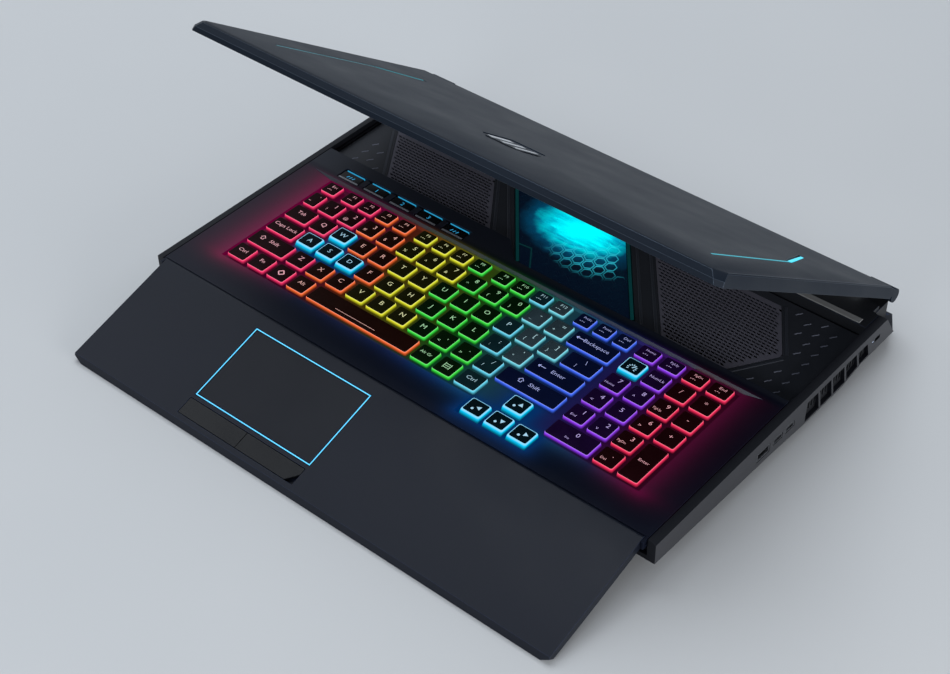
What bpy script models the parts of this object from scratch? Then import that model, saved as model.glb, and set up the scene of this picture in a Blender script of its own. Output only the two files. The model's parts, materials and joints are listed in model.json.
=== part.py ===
"""Gaming laptop with a sliding keyboard deck, a tilting palm rest and a hinged lid.

Frame: +X to the user's right, +Y to the rear, +Z up, table at z = 0.
Rest pose: keyboard slid forward, palm rest tilted down, lid partly open.
All driving sizes are in millimetres.
"""

import math

import bmesh
import bpy
from mathutils import Matrix, Vector

MM = 0.001

# ---- driving sizes ---------------------------------------------------------
WIDTH = 430.0            # overall width
RAIL = 6.0               # thickness of each side wall
DECK_TOP = 33.0          # height of the keyboard surface
DECK_THICK = 7.4         # thickness of the sliding deck
SIDE_TOP = DECK_TOP - 1.4  # outer top edge of the side walls
BASE_DEPTH = 263.0       # front edge to the rear end of the side walls
REAR_Y = 295.5           # rear face of the exhaust housing
PALM_DEPTH = 91.5        # palm rest, hinge line to front edge
PALM_THICK = 6.5
PALM_WIDTH = 412.0
PALM_TILT = math.radians(16.9)
LID_OPEN = math.radians(34.4)
LID_TOP = DECK_TOP + 8.7  # closed height over the table, 41.7
LID_THICK = 8.1
LID_WIDTH = 420.0
LID_REAR = 270.9         # rear edge of the closed lid
LID_FRONT = 2.6
HINGE_Y = 284.9
HINGE_Z = DECK_TOP + 2.2
HINGE_PIN_R = 2.2
HINGE_RUN = 0.05         # running clearance of the lid pins
PITCH = 18.95            # key pitch
CAP = PITCH - 3.15       # key cap length and width
KEY_X0 = -185.3          # left edge of the key field
KEY_Y0 = 154.15          # row n is centred on KEY_Y0 - n * PITCH
KEY_TOP = DECK_TOP - 0.1
KEY_BOTTOM = DECK_TOP - 3.4
KEY_WELL = DECK_TOP - 5.1  # floor under the keys
FIRST = 0.235            # the first key of every row is narrower by this share of the pitch
FUNCTION_CAP = CAP - 3.2  # front to back of the function row's caps
WELL_REAR = KEY_Y0 - PITCH - CAP / 2 + FUNCTION_CAP + 2.5  # rear edge of the opening under the keys
DISH_LEFT = -200.0       # edges of the shallow dish round the keys
DISH_RIGHT = 195.0
DISH_FRONT = 7.5
DISH_REAR = WELL_REAR + 1.6
DISH_DEEP = 2.4
MACRO_COUNT = 5          # small keys behind the keyboard
MACRO_X0 = -180.6        # left edge of the first
MACRO_STEP = 25.1
MACRO_LONG = 19.6
MACRO_Y = (147.8, 156.6)
MACRO_FLOOR = DECK_TOP - 4.4  # floor of their trough
MACRO_GAP = 0.5
MACRO_BAR = 1.2          # width of the light guide behind them
LINK_RISE = 0.25         # height of a joining strip over the key's lower edge
LINK_THICK = 0.7
GAP = 0.3                # clearance between fixed neighbours
SLIDE_GAP = 0.7          # clearance of the sliding deck at its sides
DECK_REAR_L = 170.0
DECK_REAR_R = 153.5
FOOT = 2.7
FLOOR = 3.0
FLOOR_THICK = 2.0
PANEL_THICK = 1.4

HALF = WIDTH / 2
WALL_IN = HALF - RAIL
DECK_HALF = WALL_IN - SLIDE_GAP
DECK_LOW = DECK_TOP - DECK_THICK
PALM_HALF = PALM_WIDTH / 2
PALM_AXIS_Z = DECK_TOP - PALM_THICK / 2
PALM_R = PALM_THICK / 2
SLIDE = PALM_DEPTH
PANEL_TOP = DECK_LOW - 0.6
LID_LOW = LID_TOP - LID_THICK
ORIGIN_Y = (REAR_Y - (PALM_DEPTH + 3.0) * math.cos(PALM_TILT) + 2.1 * math.sin(PALM_TILT)) / 2
COVER_Y = DECK_REAR_R + SLIDE + 1.3
COVER_YL = DECK_REAR_L + SLIDE + 1.1


# ---- helpers ---------------------------------------------------------------
def clear_scene():
    for obj in list(bpy.data.objects):
        bpy.data.objects.remove(obj, do_unlink=True)


def material(name, colour, metallic, roughness, alpha=1.0):
    """Principled material of one sub-part."""
    mat = bpy.data.materials.new(name)
    mat.use_nodes = True
    node = mat.node_tree.nodes["Principled BSDF"]
    node.inputs["Base Color"].default_value = (*colour, 1.0)
    node.inputs["Metallic"].default_value = metallic
    node.inputs["Roughness"].default_value = roughness
    node.inputs["Alpha"].default_value = alpha
    return mat


def make(name, verts, faces):
    """Object from points in millimetres, with outward normals."""
    mesh = bpy.data.meshes.new(name)
    mesh.from_pydata([[c * MM for c in v] for v in verts], [], faces)
    work = bmesh.new()
    work.from_mesh(mesh)
    bmesh.ops.recalc_face_normals(work, faces=work.faces)
    work.to_mesh(mesh)
    work.free()
    mesh.update()
    obj = bpy.data.objects.new(name, mesh)
    bpy.context.scene.collection.objects.link(obj)
    return obj


def loft(name, rings):
    """Closed body through rings of equal point count."""
    count = len(rings[0])
    verts = [p for ring in rings for p in ring]
    faces = [list(range(count))[::-1], [len(verts) - count + i for i in range(count)]]
    for r in range(len(rings) - 1):
        a = r * count
        b = a + count
        for i in range(count):
            j = (i + 1) % count
            faces.append([a + i, a + j, b + j, b + i])
    return make(name, verts, faces)


def prism(name, outline, z0, z1):
    return loft(name, [[(x, y, z0) for x, y in outline], [(x, y, z1) for x, y in outline]])


def prism_x(name, outline, x0, x1):
    """Outline in (y, z), extruded along x."""
    return loft(name, [[(x0, y, z) for y, z in outline], [(x1, y, z) for y, z in outline]])


def box(name, x0, x1, y0, y1, z0, z1):
    return prism(name, [(x0, y0), (x1, y0), (x1, y1), (x0, y1)], z0, z1)


def circle(cy, cz, r, count=24, start=0.0, sweep=2 * math.pi):
    full = abs(sweep - 2 * math.pi) < 1e-6
    steps = count if full else count - 1
    out = []
    for i in range(count):
        a = start + sweep * i / steps
        out.append((cy + r * math.cos(a), cz + r * math.sin(a)))
    return out


def rod_x(name, y, z, r, x0, x1, count=24):
    return prism_x(name, circle(y, z, r, count), x0, x1)


def disc_z(name, x, y, r, z0, z1, count=32):
    return prism(name, circle(x, y, r, count), z0, z1)


def combine(target, tool, operation):
    """Exact Boolean, applied, and the tool removed."""
    mod = target.modifiers.new("bool", "BOOLEAN")
    mod.solver = "EXACT"
    mod.operation = operation
    mod.object = tool
    bpy.context.view_layer.update()
    graph = bpy.context.evaluated_depsgraph_get()
    result = bpy.data.meshes.new_from_object(target.evaluated_get(graph))
    target.modifiers.remove(mod)
    old = target.data
    target.data = result
    bpy.data.meshes.remove(old)
    bpy.data.objects.remove(tool, do_unlink=True)
    return target


def cut(target, *tools):
    for tool in tools:
        combine(target, tool, "DIFFERENCE")
    return target


def join(target, *tools):
    for tool in tools:
        combine(target, tool, "UNION")
    return target


def many(name, parts):
    """Several separate boxes (x0, x1, y0, y1, z0, z1) in one tool."""
    verts = []
    faces = []
    for x0, x1, y0, y1, z0, z1 in parts:
        n = len(verts)
        for z in (z0, z1):
            verts += [(x0, y0, z), (x1, y0, z), (x1, y1, z), (x0, y1, z)]
        faces += [[n + 3, n + 2, n + 1, n], [n + 4, n + 5, n + 6, n + 7]]
        for i in range(4):
            j = (i + 1) % 4
            faces.append([n + i, n + j, n + 4 + j, n + 4 + i])
    return make(name, verts, faces)


def finish(obj, look, origin=(0.0, 0.0, 0.0), turn_x=0.0):
    """Its own material, origin at a point in mm, then a turn about x at that point."""
    obj.data.materials.clear()
    obj.data.materials.append(material(obj.name, *look))
    shift = Vector(origin) * MM
    obj.data.transform(Matrix.Translation(-shift))
    obj.matrix_world = Matrix.Translation(shift) @ Matrix.Rotation(turn_x, 4, "X")
    return obj


def side_low(y):
    """Lower edge of the side walls at depth y."""
    knots = [(0.0, 15.5), (130.0, 10.6), (165.0, 8.0), (212.0, 8.0), (236.0, 12.5), (400.0, 12.5)]
    for (ya, za), (yb, zb) in zip(knots, knots[1:]):
        if y <= yb:
            return za + (zb - za) * (y - ya) / (yb - ya)
    return knots[-1][1]


clear_scene()

SHELL = ((0.035, 0.037, 0.042), 0.35, 0.42)
SHELL_LID = ((0.05, 0.052, 0.058), 0.7, 0.38)
PLASTIC = ((0.03, 0.031, 0.035), 0.1, 0.5)
DECK = ((0.026, 0.028, 0.034), 0.2, 0.45)
RUBBER = ((0.015, 0.015, 0.015), 0.0, 0.85)
MESH = ((0.02, 0.02, 0.022), 0.2, 0.5)
GLASS = ((0.05, 0.12, 0.14), 0.0, 0.05, 0.35)
COPPER = ((0.72, 0.36, 0.2), 0.95, 0.3)
BLADE = ((0.3, 0.31, 0.33), 0.8, 0.35)
FINS = ((0.5, 0.52, 0.55), 0.9, 0.35)
BOARD = ((0.01, 0.05, 0.035), 0.0, 0.45)
CELL = ((0.02, 0.02, 0.022), 0.0, 0.4)
STEEL = ((0.35, 0.36, 0.38), 0.9, 0.3)
PORT = ((0.45, 0.46, 0.48), 0.9, 0.28)
KEYCAP = ((0.02, 0.02, 0.024), 0.0, 0.5)
KEYCYAN = ((0.03, 0.35, 0.42), 0.0, 0.4)
LIGHT = ((0.1, 0.75, 0.85), 0.0, 0.3)
PAD = ((0.04, 0.042, 0.048), 0.0, 0.3)
SCREEN = ((0.008, 0.008, 0.01), 0.0, 0.1)
BADGE = ((0.6, 0.61, 0.63), 0.95, 0.25)

# ---- base: bottom tub ------------------------------------------------------
KNOTS = [0.0, 130.0, 165.0, 212.0, 236.0, 276.5]
right_top = [(HALF, y) for y in KNOTS]
outline = [(-x, y) for x, y in right_top][::-1]
rear_edge = [(205.0, REAR_Y - 2.5), (0.0, REAR_Y - 2.5), (-205.0, REAR_Y - 2.5)]
outline = [(0.0, 0.0)] + right_top + rear_edge + outline


def tub_ring(inset_x, front, back, z):
    ring = []
    for x, y in outline:
        t = y / (REAR_Y - 2.5)
        yy = front + (back - front) * t
        xx = math.copysign(abs(x) - inset_x, x) if abs(x) > 1.0 else 0.0
        ring.append((xx, yy, z if z is not None else side_low(y) - GAP))
    return ring


rings = [
    tub_ring(20.0, 24.0, REAR_Y - 14.0, FLOOR),
    tub_ring(0.0, 0.0, REAR_Y - 2.5, None),
    tub_ring(2.2, 2.2, REAR_Y - 4.7, None),
    tub_ring(21.5, 25.5, REAR_Y - 15.5, FLOOR + FLOOR_THICK),
]
tub = loft("bottom_cover", rings)
slots = []
for side in (-1, 1):
    for i in range(6):
        x = side * 128.0 + (i - 2.5) * 11.0
        slots.append((x - 2.2, x + 2.2, 188.0, 226.0, 1.0, 7.0))
for i in range(8):
    x = (i - 3.5) * 11.0
    slots.append((x - 2.2, x + 2.2, 110.0, 134.0, 1.0, 7.0))
cut(tub, many("tub_slots", slots))
finish(tub, SHELL)

for name, x, y in (
    ("foot_front_left", -130.0, 42.0),
    ("foot_front_right", 130.0, 42.0),
    ("foot_rear_left", -130.0, 268.0),
    ("foot_rear_right", 130.0, 268.0),
):
    foot = loft(
        name,
        [
            [(x + sx * (28 - e), y + sy * (4.5 - e), z) for sx, sy in ((-1, -1), (1, -1), (1, 1), (-1, 1))]
            for e, z in ((0.8, 0.0), (0.0, 0.8), (0.0, FOOT))
        ],
    )
    finish(foot, RUBBER)

# ---- base: side walls with the slide grooves -------------------------------


def side_wall(name, s):
    rings = []
    for y in (0.0, 130.0, 165.0, 212.0, 236.0, BASE_DEPTH):
        last = y == BASE_DEPTH
        low = side_low(y)
        rear = 14.0 if last else 0.0
        top = 1.3 if last else 0.0
        rings.append(
            [
                (s * HALF, y + rear, low),
                (s * HALF, y + top, SIDE_TOP),
                (s * (WALL_IN + 1.0), y, DECK_TOP),
                (s * WALL_IN, y, DECK_TOP),
                (s * WALL_IN, y + rear, low),
            ]
        )
    return loft(name, rings)


frame = side_wall("base_frame", 1)
join(
    frame,
    side_wall("wall_left", -1),
    box("bar_front", -WALL_IN - 0.5, WALL_IN + 0.5, 0.4, 3.4, 15.2, 18.6),
    box("bar_rear", -WALL_IN - 0.5, WALL_IN + 0.5, 258.2, 262.4, 12.7, 24.4),
)
GROOVE_LOW = DECK_TOP - 6.1
GROOVE_HIGH = DECK_TOP - 3.9
cut(
    frame,
    many(
        "grooves",
        [
            (WALL_IN - 1.0, WALL_IN + 1.9, 3.0, 257.5, GROOVE_LOW, GROOVE_HIGH),
            (-WALL_IN - 1.9, -WALL_IN + 1.0, 3.0, 257.5, GROOVE_LOW, GROOVE_HIGH),
        ],
    ),
)
VENT_MARGIN = 1.8        # wall left under a vent
VENT_HIGH = GROOVE_LOW - 0.9
LEAN = 3.6               # how far a vent's upper edge stands before its lower edge
vents = [(165.5, 182.6), (184.8, 198.3), (200.5, 214.4), (216.6, 229.8), (232.0, 243.6)]
for ya, yb in vents:
    top_y = ya + 0.6 if ya == vents[0][0] else ya - LEAN
    lower = [(y, side_low(y) + VENT_MARGIN) for y in (ya, yb)]
    outline = lower + [(yb - LEAN, VENT_HIGH), (top_y, VENT_HIGH)]
    for s in (-1, 1):
        cut(frame, prism_x("vent", outline, s * (WALL_IN - 2.0), s * (HALF + 2.0)))
USB_Y = 116.2
USBC_Y = (132.9, 146.7)
PORT_Z = 19.2
cut(
    frame,
    many(
        "port_holes",
        [
            (WALL_IN - 2.0, HALF + 2.0, USB_Y - 7.2, USB_Y + 7.2, PORT_Z - 3.4, PORT_Z + 3.4),
            (WALL_IN - 2.0, HALF + 2.0, USBC_Y[0] - 5.1, USBC_Y[0] + 5.1, PORT_Z - 2.3, PORT_Z + 2.3),
            (WALL_IN - 2.0, HALF + 2.0, USBC_Y[1] - 5.1, USBC_Y[1] + 5.1, PORT_Z - 2.3, PORT_Z + 2.3),
            (HALF - 2.2, HALF + 2.0, 250.0, 256.5, 21.0, 24.2),
            (WALL_IN - 2.0, HALF + 2.0, 246.4, 249.0, 21.6, 23.6),
        ],
    ),
)
finish(frame, PLASTIC)

led = box("status_led", HALF - 4.0, HALF - 0.2, 246.7, 248.7, 21.9, 23.3)
finish(led, LIGHT)


def port(name, y, half_y, half_z, wall):
    shell = box(name, HALF - 12.5, HALF - 0.3, y - half_y, y + half_y, PORT_Z - half_z, PORT_Z + half_z)
    cut(
        shell,
        box(
            "port_hole",
            HALF - 11.7,
            HALF + 2.0,
            y - half_y + wall,
            y + half_y - wall,
            PORT_Z - half_z + wall,
            PORT_Z + half_z - wall,
        ),
    )
    finish(shell, PORT)


port("usb_a_port", USB_Y, 6.9, 3.05, 0.5)
port("usb_c_port_front", USBC_Y[0], 4.8, 1.95, 0.45)
port("usb_c_port_rear", USBC_Y[1], 4.8, 1.95, 0.45)

# ---- base: recessed intake panel, grilles and window -----------------------


def ramp(y):
    """Top of the tray that the palm rest sweeps over."""
    lift = max(0.0, SLIDE - y) ** 2 / (4 * SLIDE) * math.tan(PALM_TILT)
    return min(PANEL_TOP, DECK_TOP - PALM_THICK - lift - 0.8)


stations = [4.0, 16.0, 30.0, 46.0, 64.0, 84.0, 245.0]
panel_half = WALL_IN - GAP
panel = loft(
    "intake_panel",
    [
        [
            (-panel_half, y, ramp(y)),
            (panel_half, y, ramp(y)),
            (panel_half, y, ramp(y) - PANEL_THICK),
            (-panel_half, y, ramp(y) - PANEL_THICK),
        ]
        for y in stations
    ],
)
GRILLE_L = [(-158.0, 176.0), (-58.0, 176.0), (-96.0, 228.0), (-193.0, 228.0)]
WINDOW = [(-21.0, 158.5), (84.0, 158.5), (21.0, 238.0), (-86.0, 238.0)]
GRILLE_R = [(104.0, 160.0), (155.0, 160.0), (177.5, 195.0), (149.0, 238.0), (42.0, 238.0)]


def inset(points, d):
    """Convex outline moved inwards by d."""
    out = []
    n = len(points)
    for i in range(n):
        p = Vector(points[i])
        a = (Vector(points[i - 1]) - p).normalized()
        b = (Vector(points[(i + 1) % n]) - p).normalized()
        bis = (a + b).normalized()
        s = math.sqrt(max(1e-6, (1 - a.dot(b)) / 2))
        q = p + bis * (d / s)
        out.append((q.x, q.y))
    return out


PANEL_LOW = PANEL_TOP - PANEL_THICK
for shape in (GRILLE_L, WINDOW, GRILLE_R):
    cut(panel, prism("recess", shape, PANEL_TOP - 0.8, PANEL_TOP + 2.0))
    cut(panel, prism("hole", inset(shape, 2.2), PANEL_LOW - 2.0, PANEL_TOP + 2.0))
finish(panel, SHELL)


def grille(name, shape):
    plate = prism(name, inset(shape, GAP), PANEL_TOP - 0.6, PANEL_TOP - 0.05)
    inner = inset(shape, 5.0)
    low = min(y for _, y in inner)
    high = max(y for _, y in inner)
    bars = []
    y = low + 1.0
    while y + 2.6 < high:
        edges = []
        for (xa, ya), (xb, yb) in zip(inner, inner[1:] + inner[:1]):
            for yy in (y, y + 2.6):
                if (ya - yy) * (yb - yy) < 0:
                    edges.append((yy, xa + (xb - xa) * (yy - ya) / (yb - ya)))
        if len(edges) == 4:
            left = max(min(x for q, x in edges if q == yy) for yy in (y, y + 2.6))
            right = min(max(x for q, x in edges if q == yy) for yy in (y, y + 2.6))
            third = (right - left - 4.0) / 3
            for k in range(3):
                x0 = left + k * (third + 2.0)
                bars.append((x0, x0 + third, y, y + 2.6, PANEL_TOP - 2.0, PANEL_TOP + 1.0))
        y += 5.2
    cut(plate, many("grille_slots", bars))
    finish(plate, MESH)


grille("fan_grille_left", GRILLE_L)
grille("fan_grille_right", GRILLE_R)
glass = prism("cooling_window", inset(WINDOW, GAP), PANEL_TOP - 0.6, PANEL_TOP - 0.05)
finish(glass, GLASS)

# ---- base: fans, heat pipes, board, battery --------------------------------
FAN_LOW = 6.2
FAN_HIGH = 21.0
FANS = (("left", -124.0, 203.0), ("right", 118.0, 203.0))
FAN_R = 33.0
FAN_MOUTH = 46.0         # fan axis to the outlet


def snail(fx, fy, r, mouth):
    """Round at the front and open to the rear, as a fan's housing is."""
    return circle(fx, fy, r, 28, math.pi, math.pi) + [(fx + r, mouth), (fx - r, mouth)]


for side, fx, fy in FANS:
    mouth = fy + FAN_MOUTH
    housing = prism("fan_housing_" + side, snail(fx, fy, FAN_R + 5.0, mouth), FAN_LOW, FAN_HIGH)
    cavity = snail(fx, fy, FAN_R + 3.5, mouth + 3.0)
    cut(
        housing,
        prism("fan_cavity", cavity, FAN_LOW + 1.0, FAN_HIGH + 2.0),
        disc_z("fan_inlet", fx, fy, FAN_R - 12.0, FAN_LOW - 2.0, FAN_LOW + 2.0, 24),
    )
    bridge = box("fan_bridge", fx - FAN_R - 4.5, fx + FAN_R + 4.5, fy - 4.0, fy + 4.0, FAN_LOW, FAN_LOW + 1.0)
    join(housing, bridge)
    post = disc_z("fan_post", fx, fy, 2.0, FAN_LOW + 0.5, FAN_LOW + 8.0, 16)
    join(housing, post)
    finish(housing, PLASTIC)
    rotor = disc_z("fan_rotor_" + side, fx, fy, 11.0, FAN_LOW + 1.6, FAN_HIGH - 1.4, 24)
    count = 15
    verts = []
    faces = []
    for i in range(count):
        a = 2 * math.pi * i / count
        pts = []
        for t in range(3):
            r = 9.5 + (FAN_R - 9.5) * t / 2
            b = a + 0.5 * (t / 2) ** 1.3
            for w in (-0.45, 0.45):
                pts.append((fx + r * math.cos(b) - w * math.sin(b), fy + r * math.sin(b) + w * math.cos(b)))
        n = len(verts)
        for z in (FAN_LOW + 2.4, FAN_HIGH - 2.2):
            verts += [(x, y, z) for x, y in pts]
        loop = [0, 2, 4, 5, 3, 1]
        faces.append([n + k for k in loop][::-1])
        faces.append([n + 6 + k for k in loop])
        for k in range(6):
            p = loop[k]
            q = loop[(k + 1) % 6]
            faces.append([n + p, n + q, n + 6 + q, n + 6 + p])
    join(rotor, make("fan_blades", verts, faces))
    cut(rotor, disc_z("fan_bore", fx, fy, 2.05, FAN_LOW, FAN_LOW + 9.0, 16))
    finish(rotor, BLADE, (fx, fy, FAN_LOW + 8.0))

pipes = prism("heat_pipes", inset(WINDOW, 7.0), 16.4, 18.4)
for i, (dx, dy) in enumerate(((0.0, 0.0), (0.0, 14.0), (0.0, 28.0), (0.0, 42.0))):
    y = 174.0 + dy
    x0 = -34.0 - dy * 0.62
    path = [(x0 + 8.0, y), (x0 + 60.0, y), (x0 + 74.0, y + 4.0), (x0 + 92.0, y + 4.0)]
    half = 3.4
    ring = []
    for px, py in path:
        low = [(px, py - half, 18.0), (px, py + half, 18.0)]
        high = [(px, py + half * 0.6, 20.8), (px, py - half * 0.6, 20.8)]
        ring.append(low + high)
    join(pipes, loft("pipe", ring))
finish(pipes, COPPER)

board = box("mainboard", -150.0, 150.0, 96.0, 150.0, 8.0, 9.6)
chips = [
    (-40.0, -12.0, 108.0, 136.0, 9.2, 11.6),
    (20.0, 58.0, 104.0, 142.0, 9.2, 11.9),
    (-100.0, -60.0, 104.0, 140.0, 9.2, 12.8),
    (80.0, 130.0, 102.0, 124.0, 9.2, 11.4),
    (80.0, 130.0, 128.0, 146.0, 9.2, 12.2),
]
join(board, many("chips", chips))
finish(board, BOARD)

pack = prism("battery", [(-150, 30), (150, 30), (156, 36), (156, 88), (-156, 88), (-156, 36)], 5.6, 14.5)
cut(pack, many("cell_lines", [(x - 0.5, x + 0.5, 20.0, 95.0, 13.9, 16.0) for x in (-78.0, 0.0, 78.0)]))
finish(pack, CELL)

# ---- base: rear exhaust housing, fin stacks and hinge brackets -------------
HOUSE_TOP = DECK_TOP - 3.4
housing = box("rear_housing", -204.5, 204.5, 263.0, REAR_Y, 12.8, HOUSE_TOP)
cut(
    housing,
    prism("corner_r", [(204.6 - 12, REAR_Y + 1), (206, REAR_Y - 14), (210, REAR_Y + 1)], 10.0, 40.0),
    prism("corner_l", [(-204.6 + 12, REAR_Y + 1), (-206, REAR_Y - 14), (-210, REAR_Y + 1)], 10.0, 40.0),
)
cover = prism(
    "rear_cover",
    [
        (-panel_half, COVER_YL),
        (-34.0, COVER_YL),
        (-16.4, COVER_Y),
        (panel_half, COVER_Y),
        (panel_half, 262.8),
        (204.0, 264.0),
        (204.0, 271.6),
        (-204.0, 271.6),
        (-204.0, 264.0),
        (-panel_half, 262.8),
    ],
    DECK_TOP - 8.2,
    DECK_TOP,
)
join(housing, cover)
cut(
    housing,
    many(
        "exhausts",
        [
            (-190.0, -92.0, 266.0, REAR_Y + 2.0, 15.0, 27.6),
            (92.0, 190.0, 266.0, REAR_Y + 2.0, 15.0, 27.6),
            (-66.0, -54.0, 285.0, REAR_Y + 2.0, 16.0, 25.0),
            (-42.0, -26.6, 285.0, REAR_Y + 2.0, 17.0, 22.6),
            (-14.0, 3.0, 285.0, REAR_Y + 2.0, 17.0, 22.6),
            (16.0, 29.2, 285.0, REAR_Y + 2.0, 17.0, 22.4),
            (42.0, 57.0, 285.0, REAR_Y + 2.0, 14.8, 26.8),
        ],
    ),
)
finish(housing, PLASTIC)

for side, s in (("left", -1), ("right", 1)):
    x0 = 93.0
    x1 = 189.0
    fins = box("heatsink_" + side, s * x0, s * x1, 267.0, REAR_Y - 2.0, 15.5, 16.7)
    parts = []
    count = 20
    for i in range(count):
        x = x0 + 0.6 + (x1 - x0 - 1.2) * i / (count - 1)
        lo, hi = sorted((s * (x - 0.4), s * (x + 0.4)))
        parts.append((lo, hi, 267.5, REAR_Y - 2.4, 16.2, 27.0))
    join(fins, many("fins", parts))
    finish(fins, FINS)

KNUCKLE_IN = 168.0
KNUCKLE_OUT = 186.6
ARM_IN = 187.2
ARM_OUT = 208.0
for side, s in (("left", -1), ("right", 1)):
    xa, xb = sorted((s * 150.0, s * KNUCKLE_OUT))
    bracket = box("hinge_bracket_" + side, xa, xb, 274.0, 292.0, HOUSE_TOP + GAP, HOUSE_TOP + 1.7)
    xa, xb = sorted((s * KNUCKLE_IN, s * KNUCKLE_OUT))
    join(
        bracket,
        prism_x("web", [(279.0, HINGE_Z - 4.2), (290.8, HINGE_Z - 4.2), (288.9, HINGE_Z), (280.9, HINGE_Z)], xa, xb),
        rod_x("knuckle", HINGE_Y, HINGE_Z, 4.6, xa, xb, 24),
        rod_x("pin", HINGE_Y, HINGE_Z, HINGE_PIN_R, s * (KNUCKLE_OUT - 2.0), s * (ARM_OUT - 4.0), 24),
    )
    finish(bracket, STEEL)

# ---- sliding keyboard deck -------------------------------------------------
LIP = math.sqrt((PALM_R + 0.35) ** 2 - PALM_R**2)
deck_outline = [
    (-DECK_HALF, LIP),
    (DECK_HALF, LIP),
    (DECK_HALF, DECK_REAR_R),
    (-18.0, DECK_REAR_R),
    (-34.5, DECK_REAR_L),
    (-DECK_HALF, DECK_REAR_L),
]
deck = prism("keyboard_deck", deck_outline, DECK_LOW, DECK_TOP)
cut(deck, rod_x("front_cup", 0.0, PALM_AXIS_Z, PALM_R + 0.35, -PALM_HALF - 0.4, PALM_HALF + 0.4, 48))
cheeks = many(
    "cheeks",
    [
        (PALM_HALF + 0.4, DECK_HALF, -3.6, LIP + 1.0, DECK_LOW + 0.8, DECK_TOP - 0.4),
        (-DECK_HALF, -PALM_HALF - 0.4, -3.6, LIP + 1.0, DECK_LOW + 0.8, DECK_TOP - 0.4),
    ],
)
tongues = many(
    "tongues",
    [
        (DECK_HALF - 0.5, DECK_HALF + 2.0, 3.6, 150.0, GROOVE_LOW + 0.35, GROOVE_HIGH - 0.35),
        (-DECK_HALF - 2.0, -DECK_HALF + 0.5, 3.6, 165.0, GROOVE_LOW + 0.35, GROOVE_HIGH - 0.35),
    ],
)
join(deck, cheeks, tongues)
PEG_R = 1.4
cut(deck, rod_x("peg_holes", 0.0, PALM_AXIS_Z, PEG_R + 0.05, -DECK_HALF - 2.0, DECK_HALF + 2.0, 20))

FIELD_L = KEY_X0 + FIRST * PITCH
FIELD_R = KEY_X0 + 19.2 * PITCH


def row_y(row):
    return KEY_Y0 - row * PITCH


def row_back(row):
    """Rear edge of the caps of a row; the function row is shallower than the others."""
    front = row_y(row) - CAP / 2
    return front + (FUNCTION_CAP if row == 1 else CAP)


well = [
    (FIELD_L - 1.6, row_y(6) - CAP / 2 - 2.0),
    (KEY_X0 + 12.35 * PITCH - 1.2, row_y(6) - CAP / 2 - 2.0),
    (KEY_X0 + 12.35 * PITCH - 1.2, row_y(7) - CAP / 2 - 2.0),
    (KEY_X0 + 15.35 * PITCH + 1.2, row_y(7) - CAP / 2 - 2.0),
    (KEY_X0 + 15.35 * PITCH + 1.2, row_y(6) - CAP / 2 - 2.0),
    (FIELD_R + 1.6, row_y(6) - CAP / 2 - 2.0),
    (FIELD_R + 1.6, WELL_REAR),
    (FIELD_L - 1.6, WELL_REAR),
]
cut(deck, prism("key_well", well, KEY_WELL, DECK_TOP + 3.0))


def rectangle(x0, x1, y0, y1, z):
    return [(x0, y0, z), (x1, y0, z), (x1, y1, z), (x0, y1, z)]


# Shallow dish round the keys: a floor, then slopes up to the keyboard surface.
dish = loft(
    "dish",
    [
        rectangle(FIELD_L - 2.6, FIELD_R + 2.6, 30.0, WELL_REAR + 0.3, DECK_TOP - DISH_DEEP),
        rectangle(DISH_LEFT, DISH_RIGHT, DISH_FRONT, DISH_REAR, DECK_TOP + 0.02),
        rectangle(DISH_LEFT, DISH_RIGHT, DISH_FRONT, DISH_REAR, DECK_TOP + 3.0),
    ],
)
cut(deck, dish)

# Five small keys sit in one trough; the deck shows between them over the bar that joins them.
MACRO_X1 = MACRO_X0 + (MACRO_COUNT - 1) * MACRO_STEP + MACRO_LONG
trough = box(
    "macro_trough",
    MACRO_X0 - MACRO_GAP,
    MACRO_X1 + MACRO_GAP,
    MACRO_Y[0] - MACRO_GAP,
    MACRO_Y[1] + MACRO_BAR + 2 * MACRO_GAP,
    MACRO_FLOOR,
    DECK_TOP + 2.0,
)
cut(deck, trough)
fillers = []
for i in range(1, MACRO_COUNT):
    x = MACRO_X0 + i * MACRO_STEP
    fillers.append(
        (
            x - MACRO_STEP + MACRO_LONG + MACRO_GAP,
            x - MACRO_GAP,
            MACRO_Y[0] - 1.0,
            MACRO_Y[1] + 0.1,
            KEY_BOTTOM + LINK_RISE + LINK_THICK + 0.35,
            DECK_TOP,
        )
    )
join(deck, many("macro_fillers", fillers))
finish(deck, DECK)

bar = box(
    "macro_light_bar",
    MACRO_X0,
    MACRO_X1,
    MACRO_Y[1] + MACRO_GAP,
    MACRO_Y[1] + MACRO_GAP + MACRO_BAR,
    MACRO_FLOOR + GAP,
    DECK_TOP - 0.1,
)
finish(bar, LIGHT)


def frusta(parts):
    """Key caps as closed shells: (x0, x1, y0, y1)."""
    verts = []
    faces = []
    for x0, x1, y0, y1 in parts:
        n = len(verts)
        for e, z in ((0.0, KEY_BOTTOM), (0.25, KEY_TOP - 0.7), (1.2, KEY_TOP)):
            verts += [(x0 + e, y0 + e, z), (x1 - e, y0 + e, z), (x1 - e, y1 - e, z), (x0 + e, y1 - e, z)]
        faces.append([n + 3, n + 2, n + 1, n])
        faces.append([n + 8, n + 9, n + 10, n + 11])
        for r in (0, 4):
            for i in range(4):
                j = (i + 1) % 4
                faces.append([n + r + i, n + r + j, n + r + 4 + j, n + r + 4 + i])
    return verts, faces


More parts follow.
